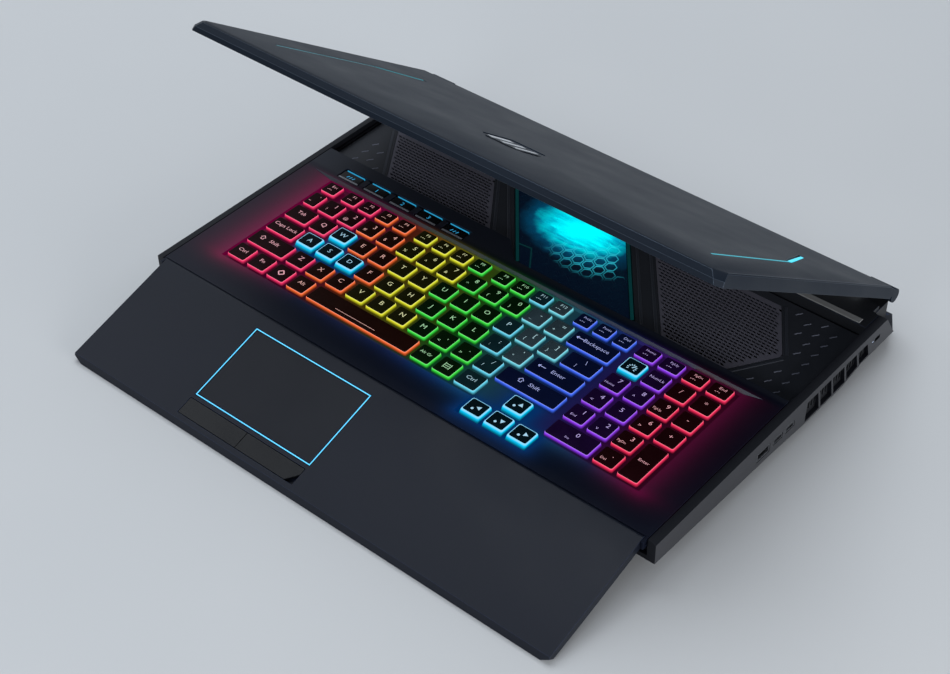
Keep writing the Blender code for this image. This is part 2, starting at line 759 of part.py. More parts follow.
def span(u0, u1, row, rows=1.0):
    """Cap extents of a key from u0 to u1 pitches, centred on its row."""
    g = (PITCH - CAP) / 2
    y = row_y(row)
    return (
        KEY_X0 + u0 * PITCH + g,
        KEY_X0 + u1 * PITCH - g,
        y - rows * PITCH / 2 + g,
        row_back(row) + (rows - 1) * PITCH / 2,
    )


def single(name, u0, u1, row, look, rows=1.0):
    verts, faces = frusta([span(u0, u1, row, rows)])
    obj = make(name, verts, faces)
    x0, x1, y0, y1 = span(u0, u1, row, rows)
    finish(obj, look, ((x0 + x1) / 2, (y0 + y1) / 2, KEY_BOTTOM))


SPINE_Z = (KEY_BOTTOM + LINK_RISE, KEY_BOTTOM + LINK_RISE + LINK_THICK)
SPINE_NEAR = 0.7         # strip behind a row: its two edges, from the back of the caps
SPINE_FAR = 1.9
TAB = 3.0                # half width of a tab, which reaches 1 mm into its cap


def comb(keys, row):
    """Strip behind a row with a tab to every key."""
    back = row_back(row)
    near = back + SPINE_NEAR
    far = back + SPINE_FAR
    pts = []
    for c in sorted((a + b) / 2 for a, b, _, _ in keys):
        pts += [(c - TAB, near), (c - TAB, back - 1.0), (c + TAB, back - 1.0), (c + TAB, near)]
    pts[0] = (pts[0][0], far)
    pts[-1] = (pts[-1][0], far)
    return pts


def row_block(name, edges, row, look):
    keys = [span(a, b, row) for a, b in edges]
    verts, faces = frusta(keys)
    obj = make(name, verts, faces)
    join(obj, prism("spine", comb(keys, row), *SPINE_Z))
    finish(obj, look, (0.0, row_y(row), KEY_BOTTOM))


def run(start, *widths):
    out = []
    u = start
    for w in widths:
        out.append((u, u + w))
        u += w
    return out


F = 0.885                # width of a function key, in pitches
function_row = [(FIRST, 1.1)]
for start in (1.27, 5.01, 8.77):
    function_row += run(start, F, F, F, F)
function_row += run(12.52, 0.86, 0.86, 0.86)
function_row += run(15.2, 1, 1, 1, 1)
row_block("keys_function_row", function_row, 1, KEYCAP)
row_block("keys_number_row", [(FIRST, 1.0)] + run(1.0, *([1] * 12), 2), 2, KEYCAP)
row_block("keys_upper_row", [(FIRST, 1.5), (1.5, 2.5)] + run(3.5, *([1] * 10), 1.5), 3, KEYCAP)
row_block("keys_home_row", [(FIRST, 1.75)] + run(4.75, *([1] * 8)), 4, KEYCAP)
row_block("keys_lower_row", [(FIRST, 2.25)] + run(2.25, *([1] * 10), 2.75), 5, KEYCAP)
row_block("keys_bottom_row", [(FIRST, 1.25)] + run(1.25, 1, 1, 1) + run(9.25, 1, 1, 1.1), 6, KEYCAP)

pad_keys = [
    (16.2, 17.2, 2, 1), (17.2, 18.2, 2, 1), (18.2, 19.2, 2, 1),
    (15.2, 16.2, 3, 1), (16.2, 17.2, 3, 1), (17.2, 18.2, 3, 1), (18.2, 19.2, 3, 1),
    (15.2, 16.2, 4, 1), (16.2, 17.2, 4, 1), (17.2, 18.2, 4, 1), (18.2, 19.2, 4, 1),
    (15.2, 16.2, 5, 1), (16.2, 17.2, 5, 1), (17.2, 18.2, 5, 1), (18.2, 19.2, 5.5, 2),
    (15.2, 17.2, 6, 1), (17.2, 18.2, 6, 1),
]
verts, faces = frusta([span(a, b, r, h) for a, b, r, h in pad_keys])
pad = make("keys_number_pad", verts, faces)
col = KEY_X0 + 17.2 * PITCH
spine = box("pad_spine", col - 0.8, col + 0.8, row_y(6) - 6.0, row_y(2) + CAP / 2 + 1.9, *SPINE_Z)
for r in (2, 3, 4, 5, 6):
    keys = [span(a, b, r) for a, b, rr, _ in pad_keys if rr == r or (r == 5 and rr == 5.5)]
    join(spine, prism("pad_comb", comb(keys, r), *SPINE_Z))
join(pad, spine)
finish(pad, KEYCAP, (0.0, row_y(4), KEY_BOTTOM))

single("key_w", 2.5, 3.5, 3, KEYCYAN)
single("key_a", 1.75, 2.75, 4, KEYCYAN)
single("key_s", 2.75, 3.75, 4, KEYCYAN)
single("key_d", 3.75, 4.75, 4, KEYCYAN)
single("key_enter", 12.75, 15.0, 4, KEYCAP)
single("key_space", 4.25, 9.25, 6, KEYCAP)
single("key_up", 13.35, 14.35, 6, KEYCYAN)
single("key_left", 12.35, 13.35, 7, KEYCYAN)
single("key_down", 13.35, 14.35, 7, KEYCYAN)
single("key_right", 14.35, 15.35, 7, KEYCYAN)
single("mode_key", 15.2, 16.2, 2, KEYCYAN)

macro = []
for i in range(MACRO_COUNT):
    x = MACRO_X0 + i * MACRO_STEP
    macro.append((x, x + MACRO_LONG, *MACRO_Y))
verts, faces = frusta(macro[:4])
keys = make("macro_keys", verts, faces)
link = (macro[0][0] + 1.0, macro[3][1] - 1.0, MACRO_Y[0] + 2.0, MACRO_Y[0] + 4.0)
join(keys, box("macro_link", *link, *SPINE_Z))
finish(keys, DECK, (0.0, MACRO_Y[0], KEY_BOTTOM))
verts, faces = frusta(macro[4:])
finish(make("turbo_key", verts, faces), DECK, ((macro[4][0] + macro[4][1]) / 2, MACRO_Y[0], KEY_BOTTOM))

# ---- palm rest, drawn flat, then tilted about its hinge line ---------------
AXIS = (0.0, 0.0, PALM_AXIS_Z)
z0 = PALM_AXIS_Z
section = [(-PALM_DEPTH, z0 + PALM_R), (-PALM_DEPTH - 3.0, z0 - 2.1), (-88.0, z0 - 2.5), (-60.0, z0 - PALM_R)]
section += circle(0.0, z0, PALM_R, 13, -math.pi / 2, math.pi)
palm = prism_x("palm_rest", section, -PALM_HALF, PALM_HALF)

def palm_corner(s, across, along, z):
    """Triangle that cuts a front corner of the palm rest at one height."""
    front = -PALM_DEPTH - 6.0
    side = s * (PALM_HALF + 4.0)
    return [(s * (PALM_HALF - across), front, z), (side, front, z), (side, -PALM_DEPTH + along, z)]


for s in (-1, 1):
    low = palm_corner(s, 16.0, 9.0, z0 - 8.0)
    high = palm_corner(s, 0.4, 1.4, z0 + 8.0)
    cut(palm, loft("palm_corner", [low, high]))
join(palm, rod_x("pegs", 0.0, z0, PEG_R, -PALM_HALF - 1.9, PALM_HALF + 1.9, 20))
TP = (-107.4, -2.4, -71.4, -8.8)
BTN = (-108.2, -3.4, -87.7, -74.1)
SPLIT = -55.2
top = z0 + PALM_R
cut(
    palm,
    many(
        "palm_pockets",
        [
            (TP[0], TP[1], TP[2], TP[3], top - 2.2, top + 2.0),
            (BTN[0], BTN[1], BTN[2], BTN[3], top - 3.4, top + 2.0),
        ],
    ),
)
finish(palm, DECK, AXIS, PALM_TILT)
ring = box("touchpad_frame", TP[0] + GAP, TP[1] - GAP, TP[2] + GAP, TP[3] - GAP, top - 1.9, top)
cut(ring, box("ring_hole", TP[0] + 1.7, TP[1] - 1.7, TP[2] + 1.7, TP[3] - 1.7, top - 4.0, top + 2.0))
finish(ring, LIGHT, AXIS, PALM_TILT)
touch = box("touchpad", TP[0] + 2.0, TP[1] - 2.0, TP[2] + 2.0, TP[3] - 2.0, top - 1.9, top - 0.15)
finish(touch, PAD, AXIS, PALM_TILT)
g = 0.35
front = BTN[2] + g
rear = BTN[3] - g
left = box("touchpad_button_left", BTN[0] + g, SPLIT - 0.2, front, rear, top - 2.1, top - 0.1)
finish(left, DECK, AXIS, PALM_TILT)
end = BTN[1] - g
slanted = [(SPLIT + 0.2, front), (end - 7.0, front), (end, front + 8.0), (end, rear), (SPLIT + 0.2, rear)]
right = prism("touchpad_button_right", slanted, top - 2.1, top - 0.1)
finish(right, DECK, AXIS, PALM_TILT)

# ---- lid, drawn closed, then opened about its hinge ------------------------
LAX = (0.0, HINGE_Y, HINGE_Z)
half = LID_WIDTH / 2


def lid_ring(hw, front, back, corner, z):
    right_half = [(hw - corner, front, z), (hw, front + corner, z), (hw, back, z)]
    left_half = [(-x, y, z) for x, y, z in right_half[::-1]]
    return right_half + left_half


lid = loft(
    "lid_cover",
    [
        lid_ring(half + 0.6, LID_FRONT - 1.6, LID_REAR, 4.0, LID_LOW),
        lid_ring(half + 0.2, LID_FRONT - 2.0, LID_REAR, 5.0, LID_LOW + 3.5),
        lid_ring(half - 1.6, LID_FRONT, LID_REAR, 7.0, LID_TOP - 0.6),
        lid_ring(half - 2.6, LID_FRONT + 1.4, LID_REAR - 1.0, 7.5, LID_TOP),
    ],
)
POCKET = (-204.5, 204.5, 6.0, 262.0)
cut(lid, box("lid_pocket", *POCKET, LID_LOW - 2.0, LID_TOP - 1.8))
for s in (-1, 1):
    xa, xb = sorted((s * ARM_IN, s * ARM_OUT))
    side_view = [(266.0, LID_TOP - 7.4), (279.5, LID_TOP - 7.4), (282.5, LID_TOP - 2.3), (266.0, LID_TOP - 0.5)]
    arm = prism_x("arm", side_view, xa, xb)
    join(arm, rod_x("arm_barrel", HINGE_Y, HINGE_Z, 5.2, xa, xb, 28))
    join(lid, arm)
    bore = (s * (ARM_IN - 2.0), s * (ARM_OUT - 3.0))
    cut(lid, rod_x("arm_bore", HINGE_Y, HINGE_Z, HINGE_PIN_R + HINGE_RUN, *bore, 24))


def strip(s, grow):
    line = [(176.0, 50.0, 0.9), (177.0, 160.0, 0.9), (176.0, 165.0, 1.9), (163.5, 212.0, 1.9)]
    w = [(x, y, h + grow) for x, y, h in line]
    w[0] = (w[0][0], w[0][1] - grow, w[0][2])
    w[-1] = (w[-1][0], w[-1][1] + grow, w[-1][2])
    right_side = [(s * (x + h), y) for x, y, h in w]
    left_side = [(s * (x - h), y) for x, y, h in w][::-1]
    return right_side + left_side


def badge(grow):
    cx, cy = -8.0, 106.0
    pts = [(-22, -6), (-10, -19), (10, -19), (22, -6), (14, 19), (-14, 19)]
    return [(cx + x * (1 + grow / 20.0), cy + y * (1 + grow / 19.0)) for x, y in pts]


for s in (-1, 1):
    cut(lid, prism("light_groove", strip(s, GAP), LID_TOP - 0.9, LID_TOP + 2.0))
cut(lid, prism("badge_recess", badge(GAP), LID_TOP - 0.7, LID_TOP + 2.0))
finish(lid, SHELL_LID, LAX, -LID_OPEN)
finish(prism("lid_light_left", strip(-1, 0.0), LID_TOP - 0.6, LID_TOP - 0.02), LIGHT, LAX, -LID_OPEN)
finish(prism("lid_light_right", strip(1, 0.0), LID_TOP - 0.6, LID_TOP - 0.02), LIGHT, LAX, -LID_OPEN)
finish(prism("lid_badge", badge(0.0), LID_TOP - 0.4, LID_TOP), BADGE, LAX, -LID_OPEN)

inner = (POCKET[0] + GAP, POCKET[1] - GAP, POCKET[2] + GAP, POCKET[3] - GAP)
bezel = box("screen_bezel", *inner, LID_LOW + 0.4, LID_LOW + 1.6)
cut(bezel, box("screen_opening", -191.2, 191.2, 18.5, 233.5, LID_LOW - 2.0, LID_LOW + 4.0))
finish(bezel, PLASTIC, LAX, -LID_OPEN)
panel = box("display_panel", -200.0, 200.0, 9.0, 258.0, LID_LOW + 1.9, LID_TOP - 2.1)
finish(panel, SCREEN, LAX, -LID_OPEN)

# ---- origin under the middle of the whole laptop ---------------------------
for obj in bpy.data.objects:
    obj.matrix_world = Matrix.Translation((0.0, -ORIGIN_Y * MM, 0.0)) @ obj.matrix_world
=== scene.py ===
import json
import math

import bmesh
import bpy
import numpy as np
from mathutils import Matrix, Vector
from mathutils.geometry import convex_hull_2d


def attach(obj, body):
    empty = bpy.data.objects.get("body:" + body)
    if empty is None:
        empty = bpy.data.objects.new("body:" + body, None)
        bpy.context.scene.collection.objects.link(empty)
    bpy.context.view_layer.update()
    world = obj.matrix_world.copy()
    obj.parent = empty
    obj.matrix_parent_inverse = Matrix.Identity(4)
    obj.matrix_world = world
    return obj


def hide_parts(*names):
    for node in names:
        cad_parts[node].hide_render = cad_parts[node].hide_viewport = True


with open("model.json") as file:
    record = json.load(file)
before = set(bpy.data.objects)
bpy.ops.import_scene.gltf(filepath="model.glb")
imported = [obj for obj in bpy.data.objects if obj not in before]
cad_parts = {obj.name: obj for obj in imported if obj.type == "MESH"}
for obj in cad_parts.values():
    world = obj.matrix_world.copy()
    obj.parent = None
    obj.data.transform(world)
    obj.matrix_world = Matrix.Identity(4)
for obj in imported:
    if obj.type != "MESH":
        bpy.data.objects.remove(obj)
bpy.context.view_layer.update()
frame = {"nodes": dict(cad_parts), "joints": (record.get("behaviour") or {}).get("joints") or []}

MM = 0.001
JOINT = {joint["name"]: joint for joint in frame["joints"]}
PALM_AXIS = Vector(JOINT["palm_tilt"]["pos_m"])
LID_AXIS = Vector(JOINT["lid_hinge"]["pos_m"])
PALM_TURN = math.radians(-JOINT["palm_tilt"]["range_deg"][0])
LID_TURN = math.radians(JOINT["lid_hinge"]["range_deg"][0])
TABLE = Matrix.Translation((0, PALM_AXIS.y, 0)) @ Matrix.Scale(MM, 4)


def turned(axis, angle):
    """Table frame turned about a hinge that runs along x."""
    turn = Matrix.Rotation(angle, 4, "X")
    return Matrix.Translation(axis) @ turn @ Matrix.Translation(-axis) @ TABLE


PALM = turned(PALM_AXIS, PALM_TURN)
LID = turned(LID_AXIS, LID_TURN)


def extent(node, place=TABLE):
    """Lowest and highest corner of a CAD node in that place's own millimetres."""
    back = place.inverted()
    points = np.array([back @ v.co for v in frame["nodes"][node].data.vertices])
    return Vector(points.min(0)), Vector(points.max(0))


# ---- finishes --------------------------------------------------------------
class Flow:
    """A value or colour on its way through the nodes of one finish."""

    def __init__(self, finish, socket):
        self.finish = finish
        self.socket = socket

    def math(self, operation, *terms):
        return self.finish.add("ShaderNodeMath", {"operation": operation}, dict(enumerate(terms)))

    def __add__(self, other):
        return self.math("ADD", self, other)

    def __sub__(self, other):
        return self.math("SUBTRACT", self, other)

    def __rsub__(self, other):
        return self.math("SUBTRACT", other, self)

    def __mul__(self, other):
        return self.math("MULTIPLY", self, other)

    def __truediv__(self, other):
        return self.math("DIVIDE", self, other)

    def __rtruediv__(self, other):
        return self.math("DIVIDE", other, self)

    def __pow__(self, other):
        return self.math("POWER", self, other)

    __radd__ = __add__
    __rmul__ = __mul__

    def most(self, other):
        return self.math("MAXIMUM", self, other)

    def least(self, other):
        return self.math("MINIMUM", self, other)

    def clamp(self):
        return self.least(1.0).most(0.0)


class Finish:
    """One procedural material with a Principled shader."""

    def __init__(self, name, **sockets):
        self.material = bpy.data.materials.new(name)
        self.material.use_nodes = True
        self.tree = self.material.node_tree
        self.shader = self.tree.nodes["Principled BSDF"]
        for key, value in sockets.items():
            self.set(key.replace("_", " "), value)

    def add(self, kind, settings=None, values=None, out=0):
        node = self.tree.nodes.new(kind)
        for key, value in (settings or {}).items():
            if key == "stops":
                ramp = node.color_ramp
                while len(ramp.elements) < len(value):
                    ramp.elements.new(1.0)
                for element, (place, colour) in zip(ramp.elements, value):
                    element.position = place
                    element.color = (*colour, 1.0)
            else:
                setattr(node, key, value)
        for key, value in (values or {}).items():
            self.put(node.inputs[key], value)
        return Flow(self, node.outputs[out])

    def put(self, socket, value):
        if isinstance(value, Flow):
            self.tree.links.new(value.socket, socket)
        elif isinstance(value, tuple) and socket.type == "RGBA":
            socket.default_value = (*value[:3], 1.0)
        else:
            socket.default_value = value

    def set(self, name, value):
        self.put(self.shader.inputs[name], value)

    def blend(self, factor, a, b):
        return self.add("ShaderNodeMix", {"data_type": "RGBA"}, {0: factor, 6: a, 7: b}, 2)

    def place(self):
        return self.add("ShaderNodeTexCoord", out="Object")

    def axes(self):
        """The three coordinates, in millimetres from the frame's origin."""
        split = self.tree.nodes.new("ShaderNodeSeparateXYZ")
        self.put(split.inputs[0], self.place())
        return [Flow(self, split.outputs[i]) * (1.0 / MM) for i in range(3)]

    def plan(self):
        """The x and y of the table's frame, in millimetres."""
        x, y, _ = self.axes()
        return x, y - PALM_AXIS.y / MM

    def noise(self, grain, detail=3.0, stretch=None):
        """Noise whose features are about grain millimetres across."""
        where = self.place()
        if stretch:
            where = self.add("ShaderNodeMapping", values={"Vector": where, "Scale": stretch})
        values = {"Vector": where, "Scale": 1000.0 / grain, "Detail": detail}
        return self.add("ShaderNodeTexNoise", values=values)

    def bump(self, height, depth):
        values = {"Height": height, "Distance": depth * MM, "Strength": 0.6}
        self.set("Normal", self.add("ShaderNodeBump", values=values))


def dimmed(colour, by):
    return tuple(c * by for c in colour)


def skin(name, colour, rough, grain, depth, metal=0.0, spread=0.14, stretch=None, shine=0.3):
    """Painted or moulded surface: fine grain, cloudy sheen and a slight drift of colour."""
    f = Finish(name, Metallic=metal)
    f.set("Specular IOR Level", shine)
    fine = f.noise(grain, 2.0, stretch)
    cloud = f.noise(38.0, 4.0)
    dust = f.noise(grain * 5.5, 3.0)
    tint = f.blend(cloud, dimmed(colour, 1.0 - spread), dimmed(colour, 1.0 + spread))
    f.set("Base Color", f.blend(((dust - 0.62) * 6.0).clamp() * 0.25, tint, dimmed(colour, 1.8)))
    f.set("Roughness", (cloud - 0.5) * 0.16 + (fine - 0.5) * 0.14 + rough)
    f.bump(fine + dust * 0.4, depth)
    return f


def lit(name, colour, strength, base=0.25, drift=9.0):
    """Light guide: milky plastic that glows, with slight unevenness along its length."""
    f = Finish(name, Roughness=0.35)
    f.set("Base Color", dimmed(colour, base))
    cloud = f.noise(drift, 2.0)
    f.set("Emission Color", f.blend(cloud, dimmed(colour, 0.72), colour))
    f.set("Emission Strength", strength)
    f.bump(f.noise(0.6), 0.01)
    return f


def metal(name, colour, rough, grain=0.5, stretch=(1.0, 12.0, 12.0)):
    """Bare metal with drawn streaks."""
    f = Finish(name, Metallic=1.0)
    streak = f.noise(grain, 3.0, stretch)
    f.set("Base Color", f.blend(streak, dimmed(colour, 0.8), dimmed(colour, 1.1)))
    f.set("Roughness", (streak - 0.5) * 0.25 + rough)
    f.bump(streak, 0.012)
    return f


HUES = {
    "pink": (1.0, 0.035, 0.16),
    "orange": (1.0, 0.16, 0.035),
    "yellow": (0.80, 0.80, 0.025),
    "green": (0.045, 0.80, 0.06),
    "ice": (0.12, 0.66, 0.86),
    "frost": (0.16, 0.68, 0.80),
    "blue": (0.055, 0.16, 1.0),
    "violet": (0.30, 0.045, 0.90),
    "rose": (1.0, 0.03, 0.12),
    "cyan": (0.0, 0.62, 1.0),
}
FROST_TOP = (0.050, 0.078, 0.095)
COLD_ZONES = ("blue", "violet", "ice")
KEY_LOW = extent("key_space")[0].z
KEY_HIGH = extent("key_space")[1].z


def wall_finish(zone):
    """Glowing side of a key cap: deep colour low down, full colour above, a hot upper edge."""
    colour = HUES[zone]
    f = Finish("cap_wall_" + zone, Roughness=0.45)
    f.set("Base Color", dimmed(colour, 0.12))
    height = (f.axes()[2] - KEY_LOW) / (KEY_HIGH - KEY_LOW)
    pale = tuple(c + (1.0 - c) * 0.3 for c in colour)
    rise = (height * 1.7 - 0.25).clamp() * (f.noise(6.0, 1.0) * 0.5 + 0.75)
    glow = f.blend(rise.clamp(), dimmed(colour, 0.14), colour)
    f.set("Emission Color", f.blend(((height - 0.72) * 5.0).clamp(), glow, pale))
    f.set("Emission Strength", 0.95)
    f.set("Specular IOR Level", 0.1)
    f.bump(f.noise(0.5), 0.008)
    return f


def top_finish(zone):
    """Dark key top, faintly tinted by the light below it."""
    colour = HUES[zone]
    f = Finish("cap_top_" + zone)
    cloud = f.noise(9.0, 2.0)
    fine = f.noise(0.28, 2.0)
    dark = FROST_TOP if zone == "frost" else tuple(0.0016 + c * 0.004 for c in colour)
    f.set("Base Color", f.blend(cloud, dimmed(dark, 0.75), dimmed(dark, 1.25)))
    f.set("Roughness", (fine - 0.5) * 0.2 + (cloud - 0.5) * 0.15 + 0.5)
    f.set("Emission Color", f.blend(cloud, dimmed(colour, 0.5), colour))
    f.set("Emission Strength", 0.02 if zone in COLD_ZONES else 0.006)
    f.set("Specular IOR Level", 0.06)
    f.bump(fine, 0.012)
    return f


def legend_finish(zone):
    colour = tuple(0.45 + 0.5 * c for c in HUES[zone])
    return lit("legend_" + zone, colour, 0.72, 0.5, 2.0)


SHELL_COLOUR = (0.0050, 0.0074, 0.0158)
shell = skin("shell_paint", SHELL_COLOUR, 0.42, 0.35, 0.018, 0.1, shine=0.27)
# Edge finishes: lighter copies of the shell and lid colours put on the bevels, a painted highlight along the
# edges.
shell_edge_painted_highlight = skin("shell_edge_painted_highlight", dimmed(SHELL_COLOUR, 4.5), 0.36, 0.35, 0.01, 0.3)
lid_paint = skin("lid_paint", (0.0070, 0.0125, 0.0225), 0.47, 0.3, 0.012, 0.2, 0.08, shine=0.16)
lid_edge_painted_highlight = skin("lid_edge_painted_highlight", (0.05, 0.066, 0.09), 0.32, 0.3, 0.01, 0.6)
# Side walls: the outer faces are painted paler than the top, a painted highlight.
rail_side_painted_highlight = skin("rail_side_painted_highlight", (0.042, 0.043, 0.050), 0.42, 0.3, 0.014, 0.3)
rail_top = skin("rail_top_paint", (0.009, 0.01, 0.014), 0.46, 0.3, 0.014, 0.1, shine=0.2)
# Painted light: the intake tray is painted lighter to make up for the shade under the lid.
tray_lightened_for_shade = skin("tray_lightened_for_shade", (0.030, 0.033, 0.042), 0.5, 0.4, 0.03, 0.1)
# Painted highlight: the slope behind the keys is a lighter copy of the deck colour.
slope_painted_highlight = skin("slope_painted_highlight", (0.07, 0.08, 0.095), 0.36, 0.3, 0.01, 0.4)
# Painted highlight: the embossed marks are painted much lighter than the panel around them.
dash_painted_highlight = skin("dash_painted_highlight", (0.17, 0.18, 0.23), 0.34, 0.3, 0.01, 0.3)
rib_paint = skin("rib_paint", (0.05, 0.055, 0.07), 0.4, 0.3, 0.01, 0.3)
button_paint = skin("button_paint", (0.0035, 0.004, 0.0055), 0.3, 0.3, 0.008, shine=0.35)
plastic = skin("dark_plastic", (0.012, 0.013, 0.016), 0.5, 0.45, 0.03)
rubber = skin("foot_rubber", (0.012, 0.012, 0.012), 0.8, 0.8, 0.08)
# Painted light: the grille is painted lighter than dark plastic to make up for the shade under the lid.
grille_sheet_painted_light = skin("grille_sheet_lightened_for_shade", (0.13, 0.127, 0.16), 0.5, 0.3, 0.01, 0.2, shine=0.2)
steel = metal("hinge_steel", (0.10, 0.105, 0.115), 0.4)
port_steel = metal("port_steel", (0.5, 0.51, 0.54), 0.28)
copper = metal("heat_pipe_copper", (0.72, 0.33, 0.17), 0.28)
alloy = metal("fin_alloy", (0.5, 0.52, 0.56), 0.36)
blade = metal("fan_blade_metal", (0.2, 0.21, 0.23), 0.38)
badge_metal = metal("badge_metal", (0.72, 0.74, 0.78), 0.22, 0.4)
bar_metal = skin("hinge_bar_paint", (0.30, 0.30, 0.30), 0.45, 0.4, 0.01, 0.3)
cyan_light = lit("cyan_light", (0.03, 0.62, 0.80), 1.25)
cyan_mid = lit("cyan_mid", (0.02, 0.42, 0.52), 0.9)
cyan_dim = lit("cyan_dim", (0.004, 0.075, 0.08), 0.4)
teal_line = lit("teal_line", (0.01, 0.26, 0.32), 1.0)
macro_light = lit("macro_light", (0.03, 0.42, 0.75), 0.75)
macro_legend = lit("macro_legend", (0.04, 0.40, 0.72), 0.75, 0.6, 2.0)
macro_front = skin("macro_front", (0.26, 0.27, 0.30), 0.36, 0.3, 0.01, 0.3)
pad_edge_light = lit("touchpad_edge_light", (0.10, 0.60, 1.0), 1.35)
status_light = lit("status_light", (0.5, 0.6, 0.8), 0.5)


# Colour of the key lights' painted spill along the keyboard from left to right: behind and beside the keys,
# then ahead of them.
SPILL_HUES = {**HUES, "pink": (1.0, 0.0, 0.26), "rose": (0.42, 0.01, 0.13)}
KEY_SPILL = (
    (0.0, "pink"), (0.16, "pink"), (0.24, "orange"), (0.36, "yellow"), (0.5, "green"),
    (0.62, "ice"), (0.74, "blue"), (0.84, "violet"), (0.92, "rose"), (1.0, "rose"),
)
FRONT_SPILL = (
    (0.0, (1.0, 0.0, 0.22)),
    (0.10, (0.30, 0.01, 0.12)),
    (0.2, (0.02, 0.04, 0.14)),
    (0.42, (0.01, 0.07, 0.34)),
    (0.55, (0.02, 0.18, 0.85)),
    (0.70, (0.02, 0.48, 1.1)),
    (0.8, (0.02, 0.26, 0.6)),
    (0.9, (0.08, 0.08, 0.30)),
    (1.0, (0.7, 0.0, 0.2)),
)
# How far the painted spill reaches to the left, right, front and rear of the keys, and round lit groups.
SPILL_REACH = (17.0, 15.0, 9.0, 2.5)
POOLS = (
    ("key_a", "key_d", 2.6),
    ("key_w", "key_w", 2.6),
    ("key_left", "key_right", 9.0),
    ("key_up", "key_up", 9.0),
)
POOL_COLOUR = (0.0, 0.20, 0.95)


def deck_finish():
    """Deck coating with the spill of the key lights painted on as a glow, wide at the sides and slight
    behind, and a painted lighter band at the rear.
    """
    f = Finish("deck_coating_with_painted_light", Metallic=0.1)
    f.set("Specular IOR Level", 0.20)
    colour = (0.0036, 0.0062, 0.0155)
    fine = f.noise(0.35, 2.0)
    cloud = f.noise(38.0, 4.0)
    f.set("Roughness", (cloud - 0.5) * 0.16 + (fine - 0.5) * 0.12 + 0.44)
    f.bump(fine, 0.016)
    x, y = f.plan()

    def outside(low, high, reaches):
        """Square of the distance outside a box, each side measured in its own reach."""
        gaps = (low.x - x, x - high.x, low.y - y, y - high.y)
        return sum((gap.most(0.0) * (1.0 / reach)) ** 2.0 for gap, reach in zip(gaps, reaches))

    low, high = FIELD
    # Painted highlight: the deck's rear band is painted lighter, standing in for light falling there.
    behind = ((y - high.y - 6.0) / 3.0).clamp()
    tint = f.blend(cloud, dimmed(colour, 0.86), dimmed(colour, 1.14))
    f.set("Base Color", f.blend(behind, tint, (0.013, 0.016, 0.025)))
    far = outside(low, high, SPILL_REACH)
    near = 1.0 / (far + 1.0)
    along = (x - low.x) / (high.x - low.x)
    hues = [(place, SPILL_HUES[zone]) for place, zone in KEY_SPILL]
    keys = f.add("ShaderNodeValToRGB", {"stops": hues}, {"Fac": along})
    front = f.add("ShaderNodeValToRGB", {"stops": FRONT_SPILL}, {"Fac": along})
    ahead = ((low.y + 6.0 - y) / 8.0).clamp()
    level = near * near * (1.0 - (1.0 - far * 60.0).clamp() * 0.55)
    glow = f.blend(level.clamp(), (0.0, 0.0, 0.0), f.blend(ahead, keys, front))
    for first, last, reach in POOLS:
        pool = 1.0 / (outside(extent(first)[0], extent(last)[1], (reach,) * 4) + 1.0)
        glow = f.blend(pool * pool, glow, POOL_COLOUR)
    # Painted light: the spill and pools of the key lights are painted onto the deck as emission.
    f.set("Emission Color", glow)
    f.set("Emission Strength", 0.12)
    return f


# ---- shapes ----------------------------------------------------------------
CREASE = 32.0  # edges sharper than this many degrees are drawn hard


class Shape:
    """Points and faces in millimetres; each face carries the number of its finish."""

    def __init__(self):
        self.points = []
        self.faces = []
        self.marks = []

    def add(self, points, faces, mark=0):
        start = len(self.points)
        self.points += [tuple(p) for p in points]
        self.faces += [[start + i for i in face] for face in faces]
        self.marks += [mark] * len(faces)
        return self

    def walls(self, rings, marks):
        """Walls through rings of equal count, open at both ends, with a mark for each wall."""
        count = len(rings[0])
        for low, high, mark in zip(rings, rings[1:], marks):
            faces = [(i, (i + 1) % count, count + (i + 1) % count, count + i) for i in range(count)]
            self.add(low + high, faces, mark)
        return self

    def stack(self, rings, marks=0):
        """Walls through rings, lowest first, closed at both ends. One mark, or one for each wall."""
        marks = marks if isinstance(marks, list) else [marks] * (len(rings) - 1)
        self.walls(rings, marks)
        count = len(rings[0])
        self.add(rings[-1], [range(count)], marks[-1])
        self.add(rings[0], [range(count)[::-1]], marks[0])
        return self

    def flat(self, near, far, y0, y1, z):
        """Level face whose left and right x are near at y0 and far at y1."""
        points = [(near[0], y0, z), (near[1], y0, z), (far[1], y1, z), (far[0], y1, z)]
        return self.add(points, [range(4)])

    def block(self, x0, x1, y0, y1, z0, z1, mark=0, edge=0.0):
        """Box whose upper edges are cut back by edge."""
        rings = [corners(x0, x1, y0, y1, z0), corners(x0, x1, y0, y1, z1 - edge)]
        if edge:
            rings.append(corners(x0 + edge, x1 - edge, y0 + edge, y1 - edge, z1))
        return self.stack(rings, mark)

    def bar(self, a, b, half, z0, z1, mark=0, edge=0.0):
        """Long ridge from a to b, cut square at its ends."""
        a, b = Vector(a), Vector(b)
        side = (b - a).orthogonal().normalized() * half
        trim = side * (1 - edge / half)
        levels = ((side, z0), (side, z1 - edge), (trim, z1))
        rings = [[(p.x, p.y, z) for p in (a - s, b - s, b + s, a + s)] for s, z in levels]
        return self.stack(rings, mark)

    def build(self, name, body, finishes, place=TABLE, replaces=(), smooth=CREASE):
        mesh = bpy.data.meshes.new(name)
        mesh.from_pydata([place @ Vector(p) for p in self.points], [], self.faces)
        mesh.polygons.foreach_set("material_index", self.marks)
        work = bmesh.new()
        work.from_mesh(mesh)
        bmesh.ops.remove_doubles(work, verts=work.verts, dist=0.002 * MM)
        bmesh.ops.recalc_face_normals(work, faces=work.faces)
        work.to_mesh(mesh)
        work.free()
        return settle(name, mesh, body, finishes, replaces, 0.0, smooth)


